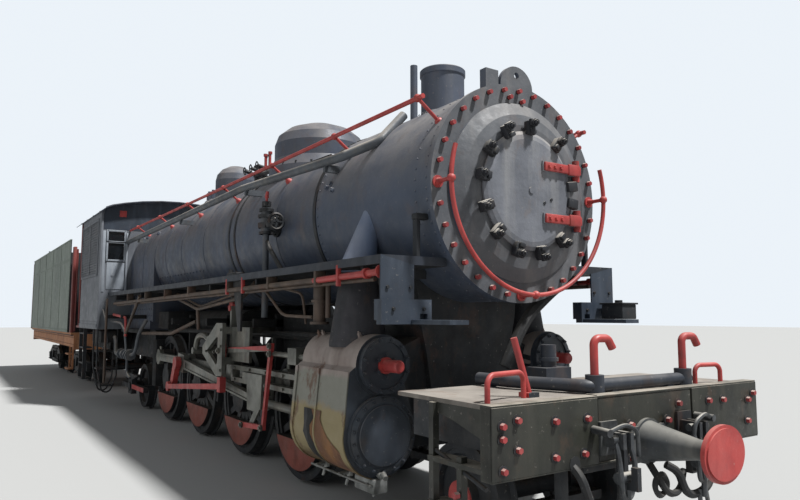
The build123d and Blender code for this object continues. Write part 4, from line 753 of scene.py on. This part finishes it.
bit = Piece("front_brackets", "ironBlackAndShade")
bit.slab((2.37, 1.02, 1.548), (0.2, 0.17, 0.115), 0.006)
bit.slab((2.37, 1.02, 1.612), (0.225, 0.19, 0.014), 0.003)
bit.bar((2.37, 1.02, (1.615, 1.64)), 0.03, sides=12)
bit.both()
for y in (0.8, 1.04):
    bit.nut((2.2375, y, 1.56), ahead, 0.011, 0.016, False)
for y in (0.9, 1.08):
    bit.bar(((2.229, 2.24), y, 1.7), 0.012, sides=6)
bit.slabs(0.004, ((2.2, 0.83, 2.03), (0.05, 0.03, 0.3)), ((2.2, 0.8, 2.18), (0.06, 0.1, 0.04)))
print("beam details made")

# wheels and motion: red hubs, oil cups, pins, keys and springs
bit = Paired("lead_hubs", "redPaint", "red_paint", "lead_axle")
bit.bar((2.37, (0.608, 0.622), 0.3555), 0.112, 0.108, sides=32)
bit = Paired("trailing_caps", "ironBlackAndShade", "black_iron", "trailing_axle")
bit.bar((-6, (0.828, 0.838), 0.3555), 0.075, sides=24)

for name, side, backward, z in (("right", -1, 0, 0.9145), ("left", 1, -0.305, 0.6095)):
    bit = Piece(f"side_rod_fittings_{name}", "oilySteel", "bare_steel", f"side_rod_{name}")
    for x in (backward, backward - 1.5, backward - 4.5):
        bit.bar((x, (side * 0.765, side * 0.769), z), 0.078, 0.07, sides=24)
        bit.bar((x, side * 0.725, (z + 0.1, z + 0.15)), 0.022, sides=12)
    for x in (-0.75, -2.25, -3.75):
        bit.slab((x + backward, side * 0.767, z), (1, 0.004, 0.05), 0.001)

bit = Paired("gear_pins", "oilySteel", "bare_steel")
for x in (-1, -0.6, -0.2, 0.2, 0.6):
    for z in (0.86, 0.98):
        bit.nut((x, 0.874, z), outward, 0.014, 0.016, False)
for x, z, y in ((0.04, 1.24, 0.936), (-0.128, 0.485, 0.936), (-0.62, 0.45, 0.936), (-1.15, 1.15, 1.007),
        (0.04, 1.17, 0.936)):
    bit.bar((x, (y, y + 0.02), z), 0.03, sides=16)
    bit.bar((x, (y + 0.02, y + 0.032), z), 0.016, sides=8)
for x in (-1.3, -1.55):
    bit.nut((x, 1.006, 1.13), outward, 0.013, 0.016, False)
for z in (0.95, 1.2, 1.37):
    bit.nut((-1.08, 1.006, z), outward, 0.014, 0.018, False)
bit.pipe([(-2.309, 0.89, 1.101), (-2.24, 0.89, 1.27), (-2.021, 0.89, 1.3), (-1.765, 0.89, 1.237)], 0.035,
    0.14)
bit.bars(((-1.765, (0.86, 0.92), 1.237), 0.055), ((-2.309, (0.5, 0.93), 1.101), 0.04))

bit = Paired("springs_and_stays", "grimeAndShade")
for i in range(4):
    x = -1.5 * i
    for leaf in range(6):
        bit.slab((x, 0.378, 1.02 + 0.018 * leaf), (1 - 0.13 * leaf, 0.085, 0.016))
    bit.slab((x, 0.378, 1.06), (0.08, 0.1, 0.17), 0.006)
    bit.bar((x, 0.378, (0.9, 1)), 0.03)
    for end in (-0.46, 0.46):
        bit.bar((x + end, 0.378, (0.9, 1.05)), 0.018)
for x in (-0.78, -2.28, -3.78):
    bit.slabs(0.005, ((x, 0.45, 1.22), (0.05, 0.16, 0.62)), ((x, 0.6, 1.44), (0.05, 0.36, 0.09)))
bit.rods(((-4.7, 0.55, 1.3), (0.6, 0.55, 1.34), 0.03), ((-4.7, 0.52, 1.32), (0.7, 0.52, 1.3), 0.022))
bit.bar(((-3.9, -2), 0.3, 1.42), 0.17, sides=32)
bit.slabs(0.02, ((-0.15, 0.2, 1.32), (1.7, 0.5, 0.4)), ((-4.55, 0.5, 1.45), (0.55, 0.4, 0.26)))
print("motion details made")


# the cab: window frames, front band and sheets, side seams, backhead gear
def roofEdge(lift):  # (y, z) points over the roof, from the right eave to the left one
    half = [(0, 3.552), (0.32, 3.54), (0.64, 3.505), (0.93, 3.452), (1.13, 3.402), (1.235, 3.355)]
    return [(-y, z + lift) for y, z in half[:0:-1]] + [(y, z + lift) for y, z in half]


frontX = -6.47
bit = Piece("cab_front_band", "navyPlate", "boiler_black")
lowEdge, bandR = 3.003, 0.775
outline = [(-1.285, lowEdge)] + roofEdge(-0.006) + [(1.285, lowEdge)]
lowTurn = asin((lowEdge - boilerZ) / bandR)
for i in range(13):
    a = lowTurn + (pi - 2 * lowTurn) * i / 12
    outline.append((bandR * cos(a), boilerZ + bandR * sin(a)))
bit.plate([(frontX, y, z) for y, z in outline], (0.004, 0, 0))

panes = ((2.48, 2.765), (2.8, 2.965))
bit = Paired("cab_window_frames", "paleFrame", "worn_casing")
for low, high in panes:
    for y in (0.891, 1.179):
        bit.slab((frontX + 0.008, y, (low + high) / 2), (0.022, 0.03, high - low + 0.06), 0.003)
    for z in (low - 0.014, high + 0.014):
        bit.slab((frontX + 0.008, 1.035, z), (0.022, 0.29, 0.03), 0.003)
bit.slabs(0.002, ((frontX + 0.004, 1.03, 2.2), (0.01, 0.29, 0.46)),
    ((frontX + 0.004, 1.235, 2.45), (0.01, 0.06, 1.05)))
bit.slab((frontX + 0.02, 0.86, 2.4), (0.03, 0.03, 1.1), 0.003)
bit.bar(((frontX, frontX + 0.02), 1.07, 2.22), 0.03, sides=20)

bit = Paired("cab_panes", "glassDark")
for low, high in panes:
    bit.slab((frontX - 0.006, 1.035, (low + high) / 2), (0.004, 0.254, high - low - 0.006))

bit = Paired("cab_front_marks", "redPaint", "red_paint")
bit.slab((frontX + 0.006, 0.94, 3.285), (0.012, 0.115, 0.11), 0.003)

bit = Paired("cab_seams", "cabGrey", "worn_casing")
for z in (1.42, 2.2, 3.2):
    for i in range(26):
        bit.rivet((-8.2 + i * 0.067, 1.29, z), outward, 0.009)
for x in (-8.2, -6.52):
    for i in range(24):
        bit.rivet((x, 1.29, 1.4 + i * 0.078), outward, 0.009)
bit.slab((-7.36, 1.296, 1.345), (1.76, 0.012, 0.06), 0.003)
bit.slabs(0.004, ((-7.42, 1.297, 2.225), (1.62, 0.014, 0.04)), ((-7.42, 1.297, 3.175), (1.62, 0.014, 0.04)))
for x in (-8.215, -7.415, -6.62):
    bit.slab((x, 1.297, 2.7), (0.04, 0.014, 0.99), 0.004)
bit.slab((frontX + 0.012, 1.27, 2.3), (0.024, 0.036, 2), 0.003)

bit = Paired("cab_louvres", "cabGrey", "worn_casing")
for x in (-7.8025, -7.0275):
    for i in range(20):
        bit.slab((x, 1.291, 2.275 + 0.0455 * i), (0.715, 0.03, 0.007), 0, radians(-38))

roofRib = roofEdge(0.012)
bit = Piece("roof_ribs", "ironBlackAndShade", "boiler_black")
for x in (-8.95, -8.3, -7.65, -7, -6.38):
    for (y, z), (y2, z2) in zip(roofRib, roofRib[1:]):
        bit.rod((x, y, z), (x, y2, z2), 0.012, sides=8)
bit.slab((-7.6, 0, 3.6), (0.7, 0.6, 0.05), 0.012)
for y in (-0.32, 0.32):
    bit.bar(((-8, -7.2), y, 3.578), 0.014, sides=8)

backX = -7.05
gauges = ((-0.3, 3, 0.085, 0.076), (0, 3.02, 0.1, 0.09), (0.3, 3, 0.085, 0.076), (-0.52, 2.86, 0.06, 0.054))
bit = Piece("backhead_gear", "ironBlackAndShade")
for y, z, r, face in gauges:
    bit.bar(((backX - 0.06, backX - 0.11), y, z), r, sides=32)
    bit.turned([(0, r * 0.9), (0, r * 1.12), (0.03, r * 1.06), (0.03, r * 0.9), (0, r * 0.9)],
        (backX - 0.12, y, z), (-1, 0, 0), 32)
for y in (-0.42, 0.42):
    bit.bar((backX - 0.07, y, (2.3, 2.75)), 0.016)
    for z in (2.3, 2.75):
        bit.bar(((backX, backX - 0.1), y, z), 0.03)
    bit.bar(((backX - 0.1, backX - 0.16), y, 2.3), 0.012)
for i, y in enumerate((-0.6, -0.48, 0.48, 0.6)):
    bit.pipe([(backX - 0.04, y, 1.4), (backX - 0.04, y, 2.4 + 0.1 * i), (backX - 0.05, y * 0.5, 2.9)], 0.016,
        0.08)
    bit.wheel((backX - 0.12, y, 2.1 + 0.1 * i), ahead, (0.036, 0.045, 0.06), 0.01, 20)
    bit.bar(((backX - 0.03, backX - 0.125), y, 2.1 + 0.1 * i), 0.012)
for z in (1.68, 1.92):
    bit.slab((backX - 0.05, -0.1, z), (0.02, 0.46, 0.04), 0.004)
bit.bar((backX - 0.05, 0.25, (1.6, 2)), 0.02)
bit.slab((backX - 0.02, 0, 1.8), (0.02, 0.62, 0.48), 0.01)
for i in range(8):
    for j in range(9):
        if abs(i - 3.5) > 2.2 or j > 4:
            bit.rivet((backX, -0.63 + i * 0.18, 1.5 + j * 0.17), (-1, 0, 0), 0.016)
bit.both()
bit.slab((-7.75, 1.06, 1.92), (0.46, 0.36, 0.06), 0.015)
bit = Piece("gauge_faces", "dialPale", "worn_casing")
for y, z, rim, r in gauges:
    bit.bar(((backX - 0.108, backX - 0.114), y, z), r, sides=32)
bit = Piece("gauge_marks", "hoseBlack")
for y, z, rim, r in gauges:
    for i in range(9):
        a = radians(220 - 32.5 * i)
        spot = (backX - 0.1155, y + r * 0.78 * cos(a), z + r * 0.78 * sin(a))
        bit.slab(spot, (0.002, r * 0.2, r * 0.05), 0, a)
    bit.slab((backX - 0.117, y + r * 0.2, z + r * 0.25), (0.002, r * 0.9, r * 0.06), tilt=0.9)
print("cab details made")

# under the cab: injector, pipes, step boxes and clutter seen beside the trailing wheels
bit = Paired("injectors", "greyPipe", "grey_pipe")
bit.bar(((-5.6, -5), 1.05, 0.92), 0.05)
for x in (-5.6, -5.35, -5.15, -5.02):
    bit.bar(((x, x + 0.03), 1.05, 0.92), 0.085, sides=8)
bit.pipes(([(-5.02, 1.05, 0.92), (-4.8, 1.03, 0.95), (-4.75, 1, 1.25), (-4.7, 0.9, 1.45)], 0.026, 0.1),
    ([(-5.6, 1.05, 0.92), (-6.3, 1, 0.88), (-6.45, 0.98, 1.15), (-8.4, 0.98, 1.18)], 0.034, 0.12),
    ([(-5.3, 1.05, 0.98), (-5.3, 1.08, 1.28), (-5.6, 1.08, 1.4), (-6.4, 1.08, 1.42)], 0.018, 0.08),
    ([(-5.45, 1, 0.86), (-5.45, 1, 0.62), (-5.3, 0.98, 0.55)], 0.02, 0.06),
    ([(-6.46, 1.2, 1.62), (-6.2, 1.2, 1.45), (-6.25, 1.15, 1.05), (-6.9, 1.1, 0.95)], 0.016, 0.1))
bit = Paired("cab_underside", "grimeAndShade")
bit.slabs(0.01, ((-6.95, 1, 1.16), (0.8, 0.4, 0.2)), ((-7.6, 0.55, 1.1), (1.6, 0.9, 0.34)))
bit.slab((-5.6, 0.86, 1.28), (1.3, 0.16, 0.06), 0.006)
bit.slab((-4.9, 0.62, 0.8), (0.2, 0.2, 0.7), 0.01)
for x in (-6.3, -5.3):
    bit.slab((x, 0.9, 1.5), (0.04, 0.5, 0.06), 0.004)
print("under cab details made")

# the tender: coal gate, posts, seams, rivets, brake wheel, lid and lamp irons
bit = Piece("coal_gate", "grimeAndShade", "worn_deck", "tender")
for i in range(6):
    bit.slab((-9.7, 0, 2.32 + i * 0.205), (0.05, 1.66 if i < 4 else 1.5, 0.19), 0.008)
bit = Paired("tender_posts", "redDark", "red_paint", "tender")
bit.slabs(0.006, ((-9.52, 1.245, 2.06), (0.16, 0.06, 1.78)), ((-16.93, 1.27, 2.1), (0.05, 0.06, 1.9)),
    ((-9.69, 0.87, 2.45), (0.08, 0.06, 1.4)))
bit.bar((-9.44, 1.2, (1.2, 2.9)), 0.016)
bit = Paired("tender_seams", "tankGrey", "tank_paint", "tender")
for x in (-9.8, -11.2, -12.6, -14, -15.4, -16.85):
    bit.slab((x, 1.2935, 2.14), (0.07, 0.007, 1.93), 0.002)
    for i in range(30):
        for seam in (x - 0.022, x + 0.022):
            bit.rivet((seam, 1.297, 1.22 + i * 0.063), outward, 0.008)
for z in (1.21, 2.7):
    bit.slab((-13.325, 1.2935, z), (7.1, 0.006, 0.06), 0.002)
    for i in range(100):
        bit.rivet((-16.83 + i * 0.0705, 1.296, z), outward, 0.008)
bit.slab((-13.32, 1.29, 3.12), (7.12, 0.035, 0.03), 0.008)
bit.both(False)
for y in (-0.65, 0, 0.3):
    bit.slab((-16.905, y, 2.14), (0.008, 0.07, 1.93), 0.002)
    for i in range(30):
        bit.rivet((-16.909, y, 1.22 + i * 0.063), (-1, 0, 0), 0.008)
bit.slab((-16.905, 0, 3.12), (0.03, 2.58, 0.03), 0.008)
bit = Piece("tender_irons", "ironBlackAndShade", "black_iron", "tender")
bit.bar((-15.9, 0, (2.92, 2.955)), 0.29, sides=40)
bit.bar((-15.9, (-0.2, 0.2), 2.99), 0.014)
for y in (-0.2, 0.2):
    bit.bar((-15.9, y, (2.94, 2.99)), 0.014)
bit.slab((-16.2, 0, 2.96), (0.12, 0.16, 0.03), 0.004)
bit.wheel((-9.6, 1, 2.15), ahead, (0.145, 0.16, 0.18), 0.014, 36)
for a in (0, 60, 120):
    bit.slab((-9.6, 1, 2.15), (0.012, 0.32, 0.02), tilt=radians(a))
bit.bars((((-9.75, -9.58), 1, 2.15), 0.02), ((-9.7, 1, (1.17, 2.15)), 0.022))
bit.both()
for i in range(60):
    for z in (0.93, 1.07):
        bit.rivet((-16.85 + i * 0.126, 1.21, z), outward, 0.011)
bit.slab((-13.2, 1.21, 1.118), (7.5, 0.09, 0.02), 0.004)
bit.bar((-16.99, 0.9, (1.6, 1.8)), 0.02)
bit.slab((-16.96, 0.9, 1.6), (0.1, 0.03, 0.03))
bit.both(False)
bit.pipes(([(-17, -0.3, 0.82), (-17.12, -0.3, 0.76), (-17.14, -0.36, 0.52), (-17.1, -0.5, 0.5)], 0.03, 0.07),
    ([(-9.45, 0.4, 0.82), (-9.1, 0.4, 0.72), (-8.9, 0.4, 0.74)], 0.03, 0.1))
for x in (-10.5, -12.2, -13.2, -14.3, -15.9):
    bit.slab((x, 0, 0.98), (0.08, 2.3, 0.22), 0.006)
bit.bar(((-16, -10.2), 0.6, 0.82), 0.022)
bit.bar(((-13.9, -12.5), 0, 0.72), 0.18, sides=32)
bit = Piece("tender_floor_strips", "primerOrange", "primer", "tender")
for i in range(12):
    bit.slab((-16.7 + i * 0.62, 0, 1.155), (0.05, 2.5, 0.012))

# bogie springs, box lids and bolts
for name, x in (("front", -11.1), ("rear", -15.25)):
    bit = Piece(f"bogie_springs_{name}", "ironBlackAndShade", "black_iron", f"bogie_{name}")
    for side in (-1, 1):
        for dx in (-0.16, 0, 0.16):
            bit.pipe([(x + dx + 0.052 * cos(a), side * 0.785 + 0.03 * sin(a), 0.36 + 0.0075598 * a)
                for a in (pi * i / 6 for i in range(49))], 0.011, 0, 4)
    bit.both()
    bit.slabs(0.006, ((x, 0.785, 0.575), (0.56, 0.11, 0.04)), ((x, 0.785, 0.345), (0.56, 0.11, 0.03)))
    for axle in (x - 0.775, x + 0.775):
        bit.slabs(0.008, ((axle, 0.856, 0.39), (0.2, 0.012, 0.19)), ((axle, 0.866, 0.41), (0.12, 0.012, 0.1)))
        for dx in (-0.085, 0.085):
            for z in (0.31, 0.47):
                bit.nut((axle + dx, 0.86, z), outward, 0.012, 0.018, False)
    for dx in (-0.9, -0.5, -0.3, 0.3, 0.5, 0.9):
        bit.nut((x + dx, 0.825, 0.46 if abs(dx) > 0.6 else 0.62), outward, 0.016, 0.02, False)
    bit.rods(((x - 0.95, 0.785, 0.5), (x - 0.55, 0.785, 0.66), 0.02),
        ((x + 0.95, 0.785, 0.5), (x + 0.55, 0.785, 0.66), 0.02))
for piece in pieces:
    piece.finish()
print("tender details made")

# the camera at the photo's angle, the floor and the light
yaw, pitch = 0.594, 0.098
cameraData = bpy.data.cameras.new("camera")
cameraData.lens = 30.083
cameraData.sensor_width = 36
cameraData.clip_end = 500
camera = added("camera", cameraData)
camera.location = (12.652, -3.403, 1.545)
aim = Vector((-cos(yaw) * cos(pitch), sin(yaw) * cos(pitch), sin(pitch)))
camera.rotation_euler = aim.to_track_quat("-Z", "Y").to_euler()
bpy.context.scene.camera = camera

grid = bmesh.new()
bmesh.ops.create_grid(grid, x_segments=1, y_segments=1, size=90)
mesh = bpy.data.meshes.new("floor")
grid.to_mesh(mesh)
grid.free()
material = bpy.data.materials.new("floorPale")
material.use_nodes = True
shader = material.node_tree.nodes["Principled BSDF"]
shader.inputs["Base Color"].default_value = linear("a9a9a7")
shader.inputs["Roughness"].default_value = 0.9
mesh.materials.append(material)
added("floor", mesh)

world = bpy.data.worlds.new("studio")
bpy.context.scene.world = world
world.use_nodes = True
tree = world.node_tree
background = tree.nodes["Background"]
lightPath = tree.nodes.new("ShaderNodeLightPath")
blend = tree.nodes.new("ShaderNodeMix")
blend.data_type = "FLOAT"
blend.inputs["A"].default_value = 0.28  # on the engine
blend.inputs["B"].default_value = 0.95  # seen by the camera
tree.links.new(lightPath.outputs["Is Camera Ray"], blend.inputs["Factor"])
tree.links.new(blend.outputs["Result"], background.inputs["Strength"])
background.inputs["Color"].default_value = (0.88, 0.94, 1, 1)

for name, direction, strength, spread in (
        ("key", (-0.46, -0.3, -1), 5.6, 5), ("fill", (-0.15, 0.9, -0.3), 0.5, 60)):
    data = bpy.data.lights.new(name, "SUN")
    data.energy = strength
    data.angle = radians(spread)
    added(name, data).rotation_euler = Vector(direction).to_track_quat("-Z", "Y").to_euler()
bpy.context.scene.view_settings.view_transform = "Standard"
